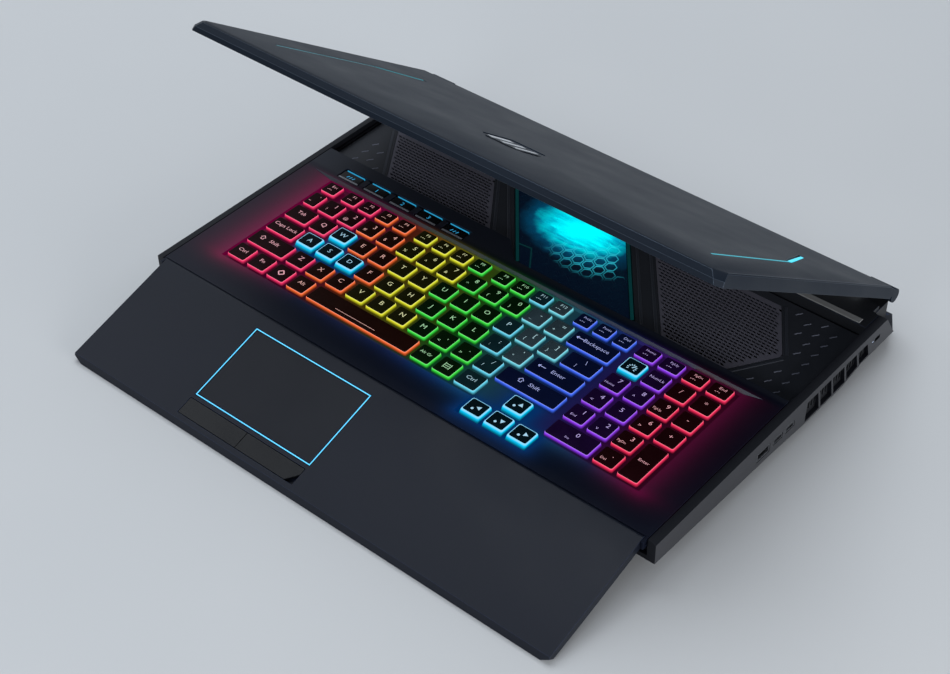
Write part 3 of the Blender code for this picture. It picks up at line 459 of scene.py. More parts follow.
def corners(x0, x1, y0, y1, z):
    return [(x0, y0, z), (x1, y0, z), (x1, y1, z), (x0, y1, z)]


def rounded(x0, x1, y0, y1, radius, z, steps=4):
    """Outline of a rectangle with round corners."""
    right, left = x1 - radius, x0 + radius
    front, rear = y0 + radius, y1 - radius
    points = []
    for cx, cy, start in ((right, front, -90), (right, rear, 0), (left, rear, 90), (left, front, 180)):
        for i in range(steps + 1):
            angle = math.radians(start + 90 * i / steps)
            points.append((cx + radius * math.cos(angle), cy + radius * math.sin(angle), z))
    return points


def circle(cx, cy, radius, z, count=24, turn=0.0):
    angles = [turn + 2 * math.pi * i / count for i in range(count)]
    return [(cx + radius * math.cos(a), cy + radius * math.sin(a), z) for a in angles]


def settle(name, mesh, body, finishes, replaces, bevel, smooth):
    """Object from a mesh: finishes, soft shading up to a crease angle, small bevels, its body."""
    mesh.shade_smooth()
    mesh.set_sharp_from_angle(angle=math.radians(smooth))
    for finish in finishes:
        mesh.materials.append(finish.material)
    obj = bpy.data.objects.new(name, mesh)
    bpy.context.scene.collection.objects.link(obj)
    if bevel:
        edges = obj.modifiers.new("soft_edges", "BEVEL")
        edges.width = bevel * MM
        edges.segments = 2
        edges.limit_method = "ANGLE"
        edges.angle_limit = math.radians(28)
        edges.harden_normals = True
        # Bevel faces take the last finish; where that is a lighter edge finish, it is a painted highlight.
        edges.material = len(finishes) - 1
    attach(obj, body)
    if replaces:
        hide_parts(*replaces)
    return obj


def refine(node, body, finishes, bevel, pick=None):
    """Piece with the CAD node's shape and softened edges. pick(centre, normal) gives a face's finish."""
    work = bmesh.new()
    work.from_mesh(frame["nodes"][node].data)
    bmesh.ops.remove_doubles(work, verts=work.verts, dist=0.003 * MM)
    bmesh.ops.dissolve_limit(work, angle_limit=math.radians(0.7), verts=work.verts, edges=work.edges)
    work.normal_update()
    for face in work.faces:
        centre = TABLE.inverted() @ face.calc_center_median()
        face.material_index = pick(centre, face.normal) if pick else 0
    mesh = bpy.data.meshes.new(node + "_skin")
    work.to_mesh(mesh)
    work.free()
    if "custom_normal" in mesh.attributes:
        mesh.attributes.remove(mesh.attributes["custom_normal"])
    return settle(node + "_skin", mesh, body, finishes, (node,), bevel, CREASE)


def coat(node, finish):
    """Gives a CAD node that stays in view its finish."""
    mesh = frame["nodes"][node].data
    mesh.materials.clear()
    mesh.materials.append(finish.material)


# ---- letters ---------------------------------------------------------------
LETTERS = {}


def letters(text, size):
    """Flat outlines of a word, centred on the origin, as points and faces."""
    if (text, size) not in LETTERS:
        curve = bpy.data.curves.new("letters", "FONT")
        curve.body = text
        curve.size = size
        curve.align_x = "CENTER"
        curve.align_y = "CENTER"
        curve.offset = -0.004 * size
        curve.resolution_u = 2
        curve.fill_mode = "FRONT"
        obj = bpy.data.objects.new("letters", curve)
        bpy.context.scene.collection.objects.link(obj)
        bpy.context.view_layer.update()
        graph = bpy.context.evaluated_depsgraph_get()
        mesh = bpy.data.meshes.new_from_object(obj.evaluated_get(graph))
        points = [(v.co.x * 1.1, v.co.y) for v in mesh.vertices]
        faces = [list(p.vertices) for p in mesh.polygons]
        LETTERS[(text, size)] = (points, faces)
        bpy.data.objects.remove(obj)
        bpy.data.curves.remove(curve)
        bpy.data.meshes.remove(mesh)
    return LETTERS[(text, size)]


def write(shape, text, size, x, y, z, mark):
    points, faces = letters(text, size)
    shape.add([(x + px, y + py, z) for px, py in points], faces, mark)


# ---- keys ------------------------------------------------------------------
W_LOW, W_HIGH = extent("key_w")
PITCH = extent("key_d")[0].x - extent("key_s")[0].x
MARGIN = (PITCH - (W_HIGH.x - W_LOW.x)) / 2
FUNCTION_LOW, FUNCTION_HIGH = extent("keys_function_row")
FUNCTION_DEEP = FUNCTION_HIGH.y - FUNCTION_LOW.y - 1.9
FIELD_X = W_LOW.x - MARGIN - 2.5 * PITCH
ROW_TOP = (W_LOW.y + W_HIGH.y) / 2 + 3 * PITCH
FIELD = (
    Vector((FUNCTION_LOW.x, ROW_TOP - 6.5 * PITCH, 0)),
    Vector((FIELD_X + 19.2 * PITCH, FUNCTION_HIGH.y, 0)),
)
FULL_GLOW = (
    "key_w", "key_a", "key_s", "key_d", "key_up", "key_left", "key_down", "key_right", "mode_key",
)
# Rings of a cap above its foot: how far in, and how far below the top. Rim keys lean to the rear.
CAP_RINGS = ((0.3, 0.85), (0.55, 0.4), (1.1, 0.1))
RIM_RINGS = ((0.25, 0.85), (0.4, 0.4), (0.75, 0.1), (1.05, 0.04))
RIM_LEAN = 1.7
CAP_RADIUS = 1.3
INK = 0.03


def cap(shape, x0, x1, y0, y1, marks, rim):
    """Key cap: glowing walls under a dark top. A rim key also shows a lit line round its top."""
    wall, top = marks
    levels = [(0.0, KEY_LOW)]
    levels += [(inset, KEY_HIGH - drop) for inset, drop in (RIM_RINGS if rim else CAP_RINGS)]
    levels.append((levels[-1][0] + 0.5, KEY_HIGH))
    dark = 1 if rim else 2
    bands = [wall] * (len(levels) - 1 - dark) + [top] * dark
    rings = []
    for inset, z in levels:
        lean = (RIM_LEAN if rim else 0.0) * (z - KEY_LOW) / (KEY_HIGH - KEY_LOW)
        rings.append(rounded(x0 + inset, x1 - inset, y0 + inset + lean, y1 - inset, CAP_RADIUS, z))
    shape.stack(rings, bands)


def key_box(u0, u1, row, rows=1.0):
    y = ROW_TOP - row * PITCH
    front = y - rows * PITCH / 2 + MARGIN
    rear = front + FUNCTION_DEEP if row == 1 else y + rows * PITCH / 2 - MARGIN
    left = max(FIELD_X + u0 * PITCH + MARGIN, FUNCTION_LOW.x)
    return left, FIELD_X + u1 * PITCH - MARGIN, front, rear


ARROWS = {"up": 90, "down": -90, "left": 180, "right": 0}


def sign(shape, kind, x, y, mark):
    """Drawn sign: an arrow, a hollow diamond, a menu, a dial or the line of the space bar."""
    levels = (KEY_HIGH, KEY_HIGH + INK)

    def stroke(ax, ay, bx, by, half=0.28):
        shape.bar((x + ax, y + ay), (x + bx, y + by), half, *levels, mark)

    if kind == "line":
        stroke(-20.5, -4.1, 15.5, -4.1, 0.14)
    elif kind == "diamond":
        for a, b in zip(range(4), (1, 2, 3, 0)):
            ends = [(2.6 * math.cos(q * math.pi / 2), 2.6 * math.sin(q * math.pi / 2)) for q in (a, b)]
            stroke(*ends[0], *ends[1], 0.4)
    elif kind == "menu":
        for dy in (-1.8, 0.0, 1.8):
            stroke(-2.0, dy, 2.0, dy, 0.22)
        for dx in (-2.5, 2.5):
            stroke(dx, -2.6, dx, 2.6, 0.22)
    elif kind == "dial":
        for part in range(9):
            angle = math.radians(-30 + part * 30)
            reach = (math.cos(angle), math.sin(angle))
            stroke(2.3 * reach[0], 2.3 * reach[1] - 0.8, 3.6 * reach[0], 3.6 * reach[1] - 0.8, 0.35)
        stroke(0.0, -0.8, 1.4, 1.2, 0.4)
    elif kind == "shift":
        stroke(-1.1, -1.7, -1.1, 0.2, 0.22)
        stroke(1.1, -1.7, 1.1, 0.2, 0.22)
        stroke(-1.1, -1.7, 1.1, -1.7, 0.22)
        stroke(-2.1, 0.2, 0.0, 2.3, 0.22)
        stroke(2.1, 0.2, 0.0, 2.3, 0.22)
    elif kind == "back":
        stroke(-2.4, 0.0, 3.4, 0.0)
        stroke(-2.6, 0.0, -1.1, 1.2)
        stroke(-2.6, 0.0, -1.1, -1.2)
    else:
        turn = math.radians(ARROWS[kind])
        shape.stack([circle(x + 2.0, y + 1.5, 2.1, z, 3, turn) for z in levels], mark)
        shape.stack([circle(x - 1.7, y - 1.2, 1.0, z, 12) for z in levels], mark)


WORD_SIGNS = {"Shift": "shift", "Backspace": "back", "Enter": "back"}


def label(shape, box, main, second, mark, line):
    """Legend of a key: a centred letter, a word, or a sign with a second one below it."""
    x = (box[0] + box[1]) / 2
    y = (box[2] + box[3]) / 2
    z = KEY_HIGH + INK
    wide = box[1] - box[0]
    if main in ("line", "diamond", "menu", "dial", *ARROWS):
        sign(shape, main, x, y, mark)
    elif line == 1:
        write(shape, main, 3.4 if len(main) < 4 else 2.8, x + 0.8, y + 2.2, z, mark)
        for k in range(3):
            start = (x - 3.0 + 1.5 * k, y - 1.9)
            shape.bar(start, (start[0] + 0.8, y - 1.9 + 0.5 * (k % 2)), 0.2, KEY_HIGH, z, mark)
    elif second:
        size = 3.9 if len(second) == 1 else 2.8
        write(shape, main, 5.2, x + 2.2, y + 2.6, z, mark)
        write(shape, second, size, x - 2.4, y - 2.9, z, mark)
    elif main in WORD_SIGNS and wide > 20:
        sign(shape, WORD_SIGNS[main], x - (9.0 if main == "Shift" else 11.5), y + 1.0, mark)
        write(shape, main, 4.6, x + 2.0, y + 1.0, z, mark)
    else:
        size = 5.5 if len(main) == 1 else 4.5 if len(main) < 5 or wide > 20 else 3.4
        write(shape, main, size, x, y + 0.8, z, mark)


def row(start, *keys):
    """Keys side by side from start, each (width, zone, main, second)."""
    placed = []
    u = start
    for width, zone, main, second in keys:
        placed.append((u, u + width, zone, main, second))
        u += width
    return placed


def plain(zone, names, width=1.0):
    return [(width, zone, name, "") for name in names.split()]


def paired(zone, names):
    return [(1.0, zone, name[0], name[1:]) for name in names.split()]


F = 0.885  # width of a function key in pitches
ROWS = {
    "keys_function_row": (1, [
        *row(0.0, (1.1, "pink", "Esc", "")),
        *row(1.27, *plain("pink", "F1 F2", F), *plain("orange", "F3 F4", F)),
        *row(5.01, *plain("yellow", "F5 F6 F7", F), *plain("green", "F8", F)),
        *row(8.77, *plain("green", "F9 F10", F), *plain("ice", "F11", F), *plain("frost", "F12", F)),
        *row(12.52, *plain("blue", "PrtSc Pause Del", 0.86)),
        *row(15.2, *plain("violet", "Home PgUp"), *plain("rose", "PgDn End")),
    ]),
    "keys_number_row": (2, row(
        0.0, *paired("pink", "`~ 1! 2@"), *paired("orange", "3# 4$"), *paired("yellow", "5% 6^ 7&"),
        *paired("green", "8* 9( 0)"), *paired("frost", "-_ =+"), (2.0, "blue", "Backspace", ""),
    )),
    "keys_upper_row": (3, [
        *row(0.0, (1.5, "pink", "Tab", ""), (1.0, "pink", "Q", "")),
        *row(3.5, *plain("orange", "E R"), *plain("yellow", "T Y"), *plain("green", "U I O")),
        *row(10.5, *plain("ice", "P"), *paired("frost", "[{ ]}"), (1.5, "blue", "\\", "|")),
    ]),
    "keys_home_row": (4, [
        *row(0.0, (1.75, "pink", "Caps Lock", "")),
        *row(4.75, *plain("orange", "F"), *plain("yellow", "G H"), *plain("green", "J K L")),
        *row(10.75, *paired("ice", ";:"), *paired("frost", "'\"")),
    ]),
    "keys_lower_row": (5, row(
        0.0, (2.25, "pink", "Shift", ""), *plain("pink", "Z"), *plain("orange", "X C"),
        *plain("yellow", "V B N"), *plain("green", "M"), *paired("green", ",< .>"),
        *paired("ice", "/?"), (2.75, "blue", "Shift", ""),
    )),
    "keys_bottom_row": (6, [
        *row(0.0, (1.25, "pink", "Ctrl", ""), *plain("pink", "Fn diamond"), *plain("orange", "Alt")),
        *row(9.25, (1.0, "green", "Alt Gr", ""), *plain("green", "menu"), *plain("ice", "Ctrl", 1.1)),
    ]),
}
PAD_ROWS = [
    (2, 1, row(16.2, *plain("violet", "NumLk"), *plain("rose", "/ *"))),
    (3, 1, row(
        15.2, (1, "violet", "7", "Home"), (1, "violet", "8", "^"), (1, "rose", "9", "PgUp"),
        *plain("rose", "-"),
    )),
    (4, 1, row(
        15.2, (1, "violet", "4", "<"), *plain("violet", "5"), (1, "rose", "6", ">"),
        *plain("rose", "+"),
    )),
    (5, 1, row(15.2, (1, "violet", "1", "End"), (1, "violet", "2", "v"), (1, "rose", "3", "PgDn"))),
    (5.5, 2, row(18.2, *plain("rose", "Enter"))),
    (6, 1, row(15.2, (2, "violet", "0", "Ins"), (1, "rose", ".", "Del"))),
]
# Keys that move on their own: start and width in pitches, line, colour and legend.
SINGLE_KEYS = {
    "key_w": (2.5, 1, 3, "cyan", "W"),
    "key_a": (1.75, 1, 4, "cyan", "A"),
    "key_s": (2.75, 1, 4, "cyan", "S"),
    "key_d": (3.75, 1, 4, "cyan", "D"),
    "key_enter": (12.75, 2.25, 4, "blue", "Enter"),
    "key_space": (4.25, 5, 6, "orange", "line"),
    "key_up": (13.35, 1, 6, "cyan", "up"),
    "key_left": (12.35, 1, 7, "cyan", "left"),
    "key_down": (13.35, 1, 7, "cyan", "down"),
    "key_right": (14.35, 1, 7, "cyan", "right"),
    "mode_key": (15.2, 1, 2, "cyan", "dial"),
}
ZONES = list(HUES)
CAP_FINISHES = [make(zone) for make in (wall_finish, top_finish, legend_finish) for zone in ZONES]


def draw_keys(node, groups):
    """Caps of one node. Each group is its line, its height in rows, and the keys on it."""
    shape = Shape()
    lit_rim = node in FULL_GLOW
    for line, rows, keys in groups:
        for u0, u1, zone, main, second in keys:
            number = ZONES.index(zone)
            box = key_box(u0, u1, line, rows)
            cap(shape, *box, (number, number + len(ZONES)), lit_rim)
            label(shape, box, main, second, number + 2 * len(ZONES), line)
    shape.build(node + "_caps", node, CAP_FINISHES, replaces=(node,))


for node, (line, keys) in ROWS.items():
    draw_keys(node, [(line, 1, keys)])
draw_keys("keys_number_pad", PAD_ROWS)
for node, (start, width, line, zone, main) in SINGLE_KEYS.items():
    draw_keys(node, [(line, 1, row(start, (width, zone, main, "")))])

# ---- keyboard deck ---------------------------------------------------------
deck_paint_with_painted_light = deck_finish()
SLOPE_Y = FUNCTION_HIGH.y - 2.4


def deck_part(centre, normal):
    """The short slope behind the keys is painted brighter than the rest of the deck, a painted highlight
    along the ridge.
    """
    slope = normal.y < -0.3 and normal.z > 0.2
    return 1 if slope and centre.y > SLOPE_Y and centre.z > 30.0 else 0


refine("keyboard_deck", "deck", [deck_paint_with_painted_light, slope_painted_highlight, shell_edge_painted_highlight], 0.35, deck_part)

M_LOW, M_HIGH = extent("macro_keys")
T_LOW, T_HIGH = extent("turbo_key")
BAR_LOW, BAR_HIGH = extent("macro_light_bar")
MACRO_STEP = (T_LOW.x - M_LOW.x) / 4
MACRO_LONG = T_HIGH.x - T_LOW.x
MACRO_INK = M_HIGH.z - 0.15
for node, numbers in (("macro_keys", range(4)), ("turbo_key", (4,))):
    shape = Shape()
    for i in numbers:
        x0 = M_LOW.x + i * MACRO_STEP
        x1 = x0 + MACRO_LONG
        levels = [(0.0, M_LOW.z), (0.1, M_HIGH.z - 0.9), (0.6, M_HIGH.z - 0.25), (1.0, M_HIGH.z - 0.2)]
        rings = [rounded(x0 + e, x1 - e, M_LOW.y + e * 1.4, M_HIGH.y - e * 0.4, 0.9, z, 3) for e, z in levels]
        shape.stack(rings, 0)
        front = (M_LOW.y + 0.1, M_LOW.y + 1.5, M_HIGH.z - 0.6, M_HIGH.z - 0.14)
        shape.block(x0 + 0.6, x1 - 0.6, *front, 3, 0.1)
        middle = (M_LOW.y + M_HIGH.y) / 2 - 0.4
        centre = (x0 + x1) / 2
        if i in (1, 2, 3):
            write(shape, str(i), 5.0, centre, middle + 0.4, MACRO_INK, 2)
        else:
            for k in range(3):
                a = (centre - 3.6 + 2.6 * k, middle - 1.1)
                shape.bar(a, (a[0] + 1.2, middle + 1.1), 0.32, MACRO_INK - 0.15, MACRO_INK, 2)
    finishes = [button_paint, macro_light, macro_legend, macro_front]
    shape.build(node + "_caps", node, finishes, replaces=(node,))
shape = Shape()
for i in range(5):
    x0 = M_LOW.x + i * MACRO_STEP + 1.2
    x1 = x0 + MACRO_LONG - 2.4
    shape.block(x0, x1, BAR_LOW.y + 0.1, BAR_LOW.y + 0.42, BAR_LOW.z, BAR_HIGH.z - 0.2, 0, 0.05)
shape.build("macro_light_segments", "deck", [macro_light], replaces=("macro_light_bar",))

# ---- palm rest -------------------------------------------------------------
refine("palm_rest", "palm_rest", [shell, shell_edge_painted_highlight], 0.45)
low, high = extent("touchpad_frame", PALM)
shape = Shape()
# A dark bed and, on it, the lit line.
for inset, top, half, mark in ((0.7, -0.12, 0.68, 0), (0.62, 0.0, 0.36, 1)):
    box = corners(low.x + inset, high.x - inset, low.y + inset, high.y - inset, 0.0)
    edge = [Vector(p).to_2d() for p in box]
    for a, b in zip(edge, edge[1:] + edge[:1]):
        reach = (b - a).normalized() * half
        shape.bar(a - reach, b + reach, half, low.z, high.z + top, mark)
pad_finishes = [button_paint, pad_edge_light]
shape.build("touchpad_edge_line", "palm_rest", pad_finishes, PALM, ("touchpad_frame",))
PAD_COLOUR = (0.010, 0.0115, 0.017)
pad_paint = skin("touchpad_surface", PAD_COLOUR, 0.34, 0.2, 0.006, 0.1, 0.06, shine=0.22)
refine("touchpad", "palm_rest", [pad_paint, shell_edge_painted_highlight], 0.2)
for button in ("touchpad_button_left", "touchpad_button_right"):
    refine(button, button, [button_paint], 0.2)

# ---- base ------------------------------------------------------------------
WALL = extent("base_frame")[1].x


def rail_part(centre, normal):
    """The outer faces of the side walls are painted paler than their upper and inner faces, a painted
    highlight for light falling on the sides.
    """
    return 0 if abs(normal.x) > 0.9 and abs(centre.x) > WALL - 1.0 else 1


refine("base_frame", "base", [rail_side_painted_highlight, rail_top], 0.3, rail_part)
refine("bottom_cover", "base", [shell, shell_edge_painted_highlight], 0.4)
refine("rear_housing", "base", [plastic, shell_edge_painted_highlight], 0.35)
refine("intake_panel", "base", [tray_lightened_for_shade], 0.25)
for side in ("left", "right"):
    refine("foot_front_" + side, "base", [rubber], 0.3)
    refine("foot_rear_" + side, "base", [rubber], 0.3)
    refine("hinge_bracket_" + side, "base", [steel], 0.25)
    coat("fan_housing_" + side, plastic)
    coat("fan_rotor_" + side, blade)
    coat("heatsink_" + side, alloy)
for port, thick in (("usb_a_port", 1.9), ("usb_c_port_front", 0.8), ("usb_c_port_rear", 0.8)):
    refine(port, "base", [port_steel], 0.08)
    low, high = extent(port)
    middle = (low.z + high.z) / 2
    top = middle + thick / 2
    shape = Shape()
    tongue = (low.y + 1.4, high.y - 1.4, middle - thick / 2, top)
    shape.block(low.x + 0.9, high.x - 1.6, *tongue, 0, 0.1)
    for k in range(4):
        y = low.y + (high.y - low.y) * (0.26 + 0.16 * k)
        shape.block(low.x + 4.0, high.x - 1.8, y - 0.3, y + 0.3, top - 0.05, top + 0.04, 1)
    shape.build(port + "_tongue", "base", [plastic, steel])
refine("status_led", "base", [status_light], 0.1)
coat("heat_pipes", copper)

# Dark slatted screens inside the side vents: their outline (y, z) follows the walls' lower edge.
SCREEN = ((164.5, 9.6), (212.0, 9.6), (236.0, 14.0), (244.2, 14.0), (240.5, 26.4), (163.5, 26.4))
SCREEN_X = (WALL - 3.7, WALL - 3.2)
SLAT_X = (WALL - 3.2, WALL - 2.4)
SLAT_Z = (14.6, 26.2)
shape = Shape()
for side in (-1, 1):
    shape.stack([[(side * x, y, z) for y, z in SCREEN] for x in SCREEN_X])
    x0, x1 = sorted(side * x for x in SLAT_X)
    for k in range(22):
        y = 167.0 + 3.4 * k
        shape.block(x0, x1, y - 0.4, y + 0.4, *SLAT_Z)
shape.build("vent_screens", "base", [plastic])

board = skin("board_green", (0.01, 0.045, 0.03), 0.4, 0.9, 0.03)
coat("mainboard", board)
coat("battery", skin("battery_wrap", (0.014, 0.014, 0.016), 0.42, 1.2, 0.03))

PANEL_TOP = extent("fan_grille_left")[1].z


def flat_corners(node):
    """Four corners of a slanted plate: front left, front right, rear right, rear left."""
    points = [TABLE.inverted() @ v.co for v in frame["nodes"][node].data.vertices]
    low_y = min(p.y for p in points)
    high_y = max(p.y for p in points)
    front = sorted(p.x for p in points if p.y < low_y + 0.2)
    rear = sorted(p.x for p in points if p.y > high_y - 0.2)
    ends = ((front[0], low_y), (front[-1], low_y), (rear[-1], high_y), (rear[0], high_y))
    return [Vector(end) for end in ends]


def between(quad, u, v):
    """Point of a quad at shares u of its width and v of its depth."""
    front = quad[0].lerp(quad[1], u)
    rear = quad[3].lerp(quad[2], u)
    return front.lerp(rear, v)


def hull(node):
    """Outer outline of a flat plate, seen from above, counterclockwise."""
    points = [(TABLE.inverted() @ v.co).to_2d() for v in frame["nodes"][node].data.vertices]
    return [points[i] for i in convex_hull_2d(points)]


def limits(outline, y):
    """Left and right edge of an outline at depth y."""
    found = []
    for a, b in zip(outline, outline[1:] + outline[:1]):
        if min(a.y, b.y) <= y <= max(a.y, b.y) and abs(a.y - b.y) > 1e-3:
            found.append(a.x + (b.x - a.x) * (y - a.y) / (b.y - a.y))
    return min(found), max(found)


SLOT_STEP = (3.4, 2.9)
SLOT_SHARE = (0.8, 0.6)
STAGGER = SLOT_STEP[0] / 2
BORDER = 1.5
SHEET = 0.5


def shrunk(offset):
    """Offset of a slot's corner from that of its step."""
    return Vector((offset.x * SLOT_SHARE[0], offset.y * SLOT_SHARE[1]))


def perforated(node):
    """Sheet with staggered slots between a plain border. Gives back its outline."""
    outline = hull(node)
    z = PANEL_TOP
    step_x, step_y = SLOT_STEP
    low_y = min(p.y for p in outline) + 0.01
    high_y = max(p.y for p in outline) - 0.01
    shape = Shape()
    lines = int((high_y - low_y - 2 * BORDER) / step_y)
    for j in range(lines + 2):
        y0 = low_y if j == 0 else low_y + BORDER + (j - 1) * step_y
        y1 = high_y if j == lines + 1 else low_y + BORDER + j * step_y
        near, far = limits(outline, y0), limits(outline, y1)
        if j in (0, lines + 1):
            shape.flat(near, far, y0, y1, z)
            continue
        a, b = near[0] + BORDER, far[0] + BORDER
        shape.flat((near[0], a), (far[0], b), y0, y1, z)
        if j % 2:
            shape.flat((a, a + STAGGER), (b, b + STAGGER), y0, y1, z)
            a, b = a + STAGGER, b + STAGGER
        while a + step_x < near[1] - BORDER and b + step_x < far[1] - BORDER:
            outer = [Vector(p) for p in ((a, y0), (a + step_x, y0), (b + step_x, y1), (b, y1))]
            middle = sum(outer, Vector((0, 0))) / 4
            inner = [middle + shrunk(p - middle) for p in outer]
            levels = ((outer, z), (inner, z), (inner, z - SHEET))
            shape.walls([[(p.x, p.y, h) for p in ring] for ring, h in levels], (0, 0))
            a, b = a + step_x, b + step_x
        shape.flat((a, near[1]), (b, far[1]), y0, y1, z)
    shape.walls([[(p.x, p.y, h) for p in outline] for h in (z, z - SHEET)], (0,))
    sheet = node + "_sheet"
    shape.build(sheet, "base", [grille_sheet_painted_light], replaces=(node,), smooth=20.0)
    return outline


left_grille = perforated("fan_grille_left")
right_grille = perforated("fan_grille_right")
window = flat_corners("cooling_window")
window_outline = hull("cooling_window")

# Raised ribs along the slanted edges of the grilles and the window.
shape = Shape()
for outline, margin in ((left_grille, 3.2), (right_grille, 3.2), (window_outline, 4.4)):
    middle = sum(outline, Vector((0, 0))) / len(outline)
    for a, b in zip(outline, outline[1:] + outline[:1]):
        if abs(a.y - b.y) > 5.0:
            out = (b - a).orthogonal().normalized() * margin
            out = out if out.dot(a - middle) > 0 else -out
            trim = (b - a).normalized() * 0.8
            ends = (a + out + trim, b + out - trim)
            shape.bar(*ends, 1.1, PANEL_TOP - 0.4, PANEL_TOP + 0.35, 0, 0.3)
shape.build("intake_ribs", "base", [rib_paint])

# Embossed marks on the outer ends of the intake panel, in staggered rows, painted much lighter than the panel
# as a painted highlight.
PANEL_LOW, PANEL_HIGH = extent("intake_panel")
MARK_STEP = (10.2, 11.6)
MARK_STROKES = ((-1.5, -1.9, -0.5, 0.1), (-0.5, 0.1, 0.7, 1.2), (0.7, 1.2, 1.3, 2.6))
MARK_GAP = 8.5


def clear_of(outline, x, y, gap):
    """True where a point lies outside an outline by at least gap."""
    for a, b in zip(outline, outline[1:] + outline[:1]):
        along = (b - a).normalized()
        if (Vector((x, y)) - a).cross(along) > gap:
            return True
    return False


def emboss(shape, outline, x_from, columns, side, y_from, y_to):
    """Marks in columns that step inwards from x_from, wherever the grille leaves room."""
    for i in range(columns):
        x = x_from - side * MARK_STEP[0] * i
        y = y_from + (MARK_STEP[1] / 2 if i % 2 else 0.0)
        while y < y_to:
            if clear_of(outline, x, y, MARK_GAP):
                for ax, ay, bx, by in MARK_STROKES:
                    ends = ((x + ax, y + ay), (x + bx, y + by))
                    shape.bar(*ends, 0.5, PANEL_TOP - 0.3, PANEL_TOP + 0.4, 0, 0.2)
            y += MARK_STEP[1]


shape = Shape()
emboss(shape, right_grille, PANEL_HIGH.x - 15.4, 7, 1, 162.5, 240.0)
emboss(shape, left_grille, PANEL_LOW.x + 15.4, 5, -1, 179.0, 236.0)
shape.build("panel_marks", "base", [dash_painted_highlight])

# Window: tinted glass over a honeycomb plate lit from one side, with lit glass edges.
glass = Finish("window_glass", Roughness=0.06, Alpha=0.12)
glass.set("Base Color", glass.blend(glass.noise(20.0), (0.004, 0.012, 0.016), (0.006, 0.02, 0.025)))
glass.set("Roughness", glass.noise(3.0) * 0.05 + 0.04)
refine("cooling_window", "base", [glass], 0.15)

# Where the light behind the window is strongest, and where the comb catches it.
GLOW_AT = (-8.0, 221.0)
COMB_AT = (12.0, 204.0)


def glow_finish(name, comb):
    """Light strongest at one place behind the window. The comb also catches it along its near edge."""
    f = Finish(name, Roughness=0.5)
    f.set("Specular IOR Level", 0.1)
    f.set("Base Color", dimmed(HUES["cyan"], 0.02))
    x, y = f.plan()
    ripple = (f.noise(9.0, 3.0) - 0.5) * 0.22

    def level(at, reach):
        dx = (x - at[0]) * (1.0 / reach[0])
        dy = (y - at[1]) * (1.0 / reach[1])
        return (1.0 - (dx * dx + dy * dy) ** 0.5 + ripple).clamp()

    core = level(GLOW_AT, (54.0, 38.0))
    halo = f.blend((core * 1.5).clamp(), (0.0012, 0.003, 0.009), (0.0, 0.10, 0.22))
    if comb:
        halo = f.blend((level(COMB_AT, (38.0, 27.0)) * 2.0).clamp(), halo, (0.02, 0.33, 0.42))
    swirl = f.noise(5.0, 4.0, (0.35, 1.6, 1.0))
    hot = f.blend((swirl * 2.6 - 0.9).clamp(), (0.0, 0.34, 0.52), (0.0, 0.95, 1.0))
    hot = f.blend(((core - 0.55) * 3.0).clamp(), hot, (0.0, 0.95, 1.0))
    f.set("Emission Color", f.blend(((core - 0.24) * 2.6).clamp(), halo, hot))
    f.set("Emission Strength", 1.5)
    f.bump(f.noise(2.0), 0.02)
    return f


plate_glow = glow_finish("glow_plate", False)
comb_glow = glow_finish("glow_honeycomb", True)
shape = Shape()
inner = [between(window, *p) for p in ((0.04, 0.05), (0.96, 0.05), (0.96, 0.95), (0.04, 0.95))]
COMB_LOW, COMB_HIGH = PANEL_TOP - 2.2, PANEL_TOP - 1.6
shape.stack([[(p.x, p.y, z) for p in inner] for z in (PANEL_TOP - 2.6, COMB_LOW)])
CELL = 5.3
# Rims of a cell as shares of its size: outer foot, outer top, inner top, inner foot.
CELL_RINGS = ((0.87, COMB_LOW), (0.865, COMB_HIGH), (0.80, COMB_HIGH), (0.795, COMB_LOW))
first_x = min(p.x for p in inner)
last_x = max(p.x for p in inner)
line = 0
y = inner[0].y + CELL
while y < inner[2].y - CELL:
    left, right = limits(inner, y)
    x = first_x + (line % 2) * CELL * 0.866
    while x < last_x:
        if left + CELL < x < right - CELL:
            rings = [circle(x, y, CELL * share, z, 6, math.pi / 6) for share, z in CELL_RINGS]
            shape.walls(rings, (1, 1, 1))
        x += CELL * 1.732
    y += CELL * 1.5
    line += 1
shape.build("window_honeycomb", "base", [plate_glow, comb_glow])

shape = Shape()
low, high = PANEL_TOP - 0.3, PANEL_TOP - 0.02
for near, far, side in ((window[0], window[3], 1), (window[1], window[2], -1)):
    a = near.lerp(far, 0.04) + Vector((side * 2.2, 0))
    b = near.lerp(far, 0.9) + Vector((side * 2.2, 0))
    shape.bar(a, b, 1.2, low, high, 0)
turns = ((0.24, 1.4, 0.0), (0.24, 13.9, 1.5), (0.0, 11.4, 2.2))
bracket = [window[0].lerp(window[3], t) + Vector((dx, dy)) for t, dx, dy in turns]
shape.bar(bracket[0], bracket[1], 0.5, low, high, 0)
shape.bar(bracket[1], bracket[2], 0.5, low, high, 0)
shape.build("window_edge_lights", "base", [cyan_dim])

# Light metal bar in front of each hinge. The left one stands behind the deck's longer rear edge.
shape = Shape()
HOUSE_LOW, HOUSE_HIGH = extent("rear_housing")
for x0, y0 in ((152.0, HOUSE_LOW.y + 1.0), (-203.0, HOUSE_LOW.y + 17.6)):
    shape.block(x0, x0 + 51.0, y0, y0 + 5.2, HOUSE_HIGH.z - 0.2, HOUSE_HIGH.z + 0.35, 0, 0.3)
shape.build("hinge_bars", "base", [bar_metal])

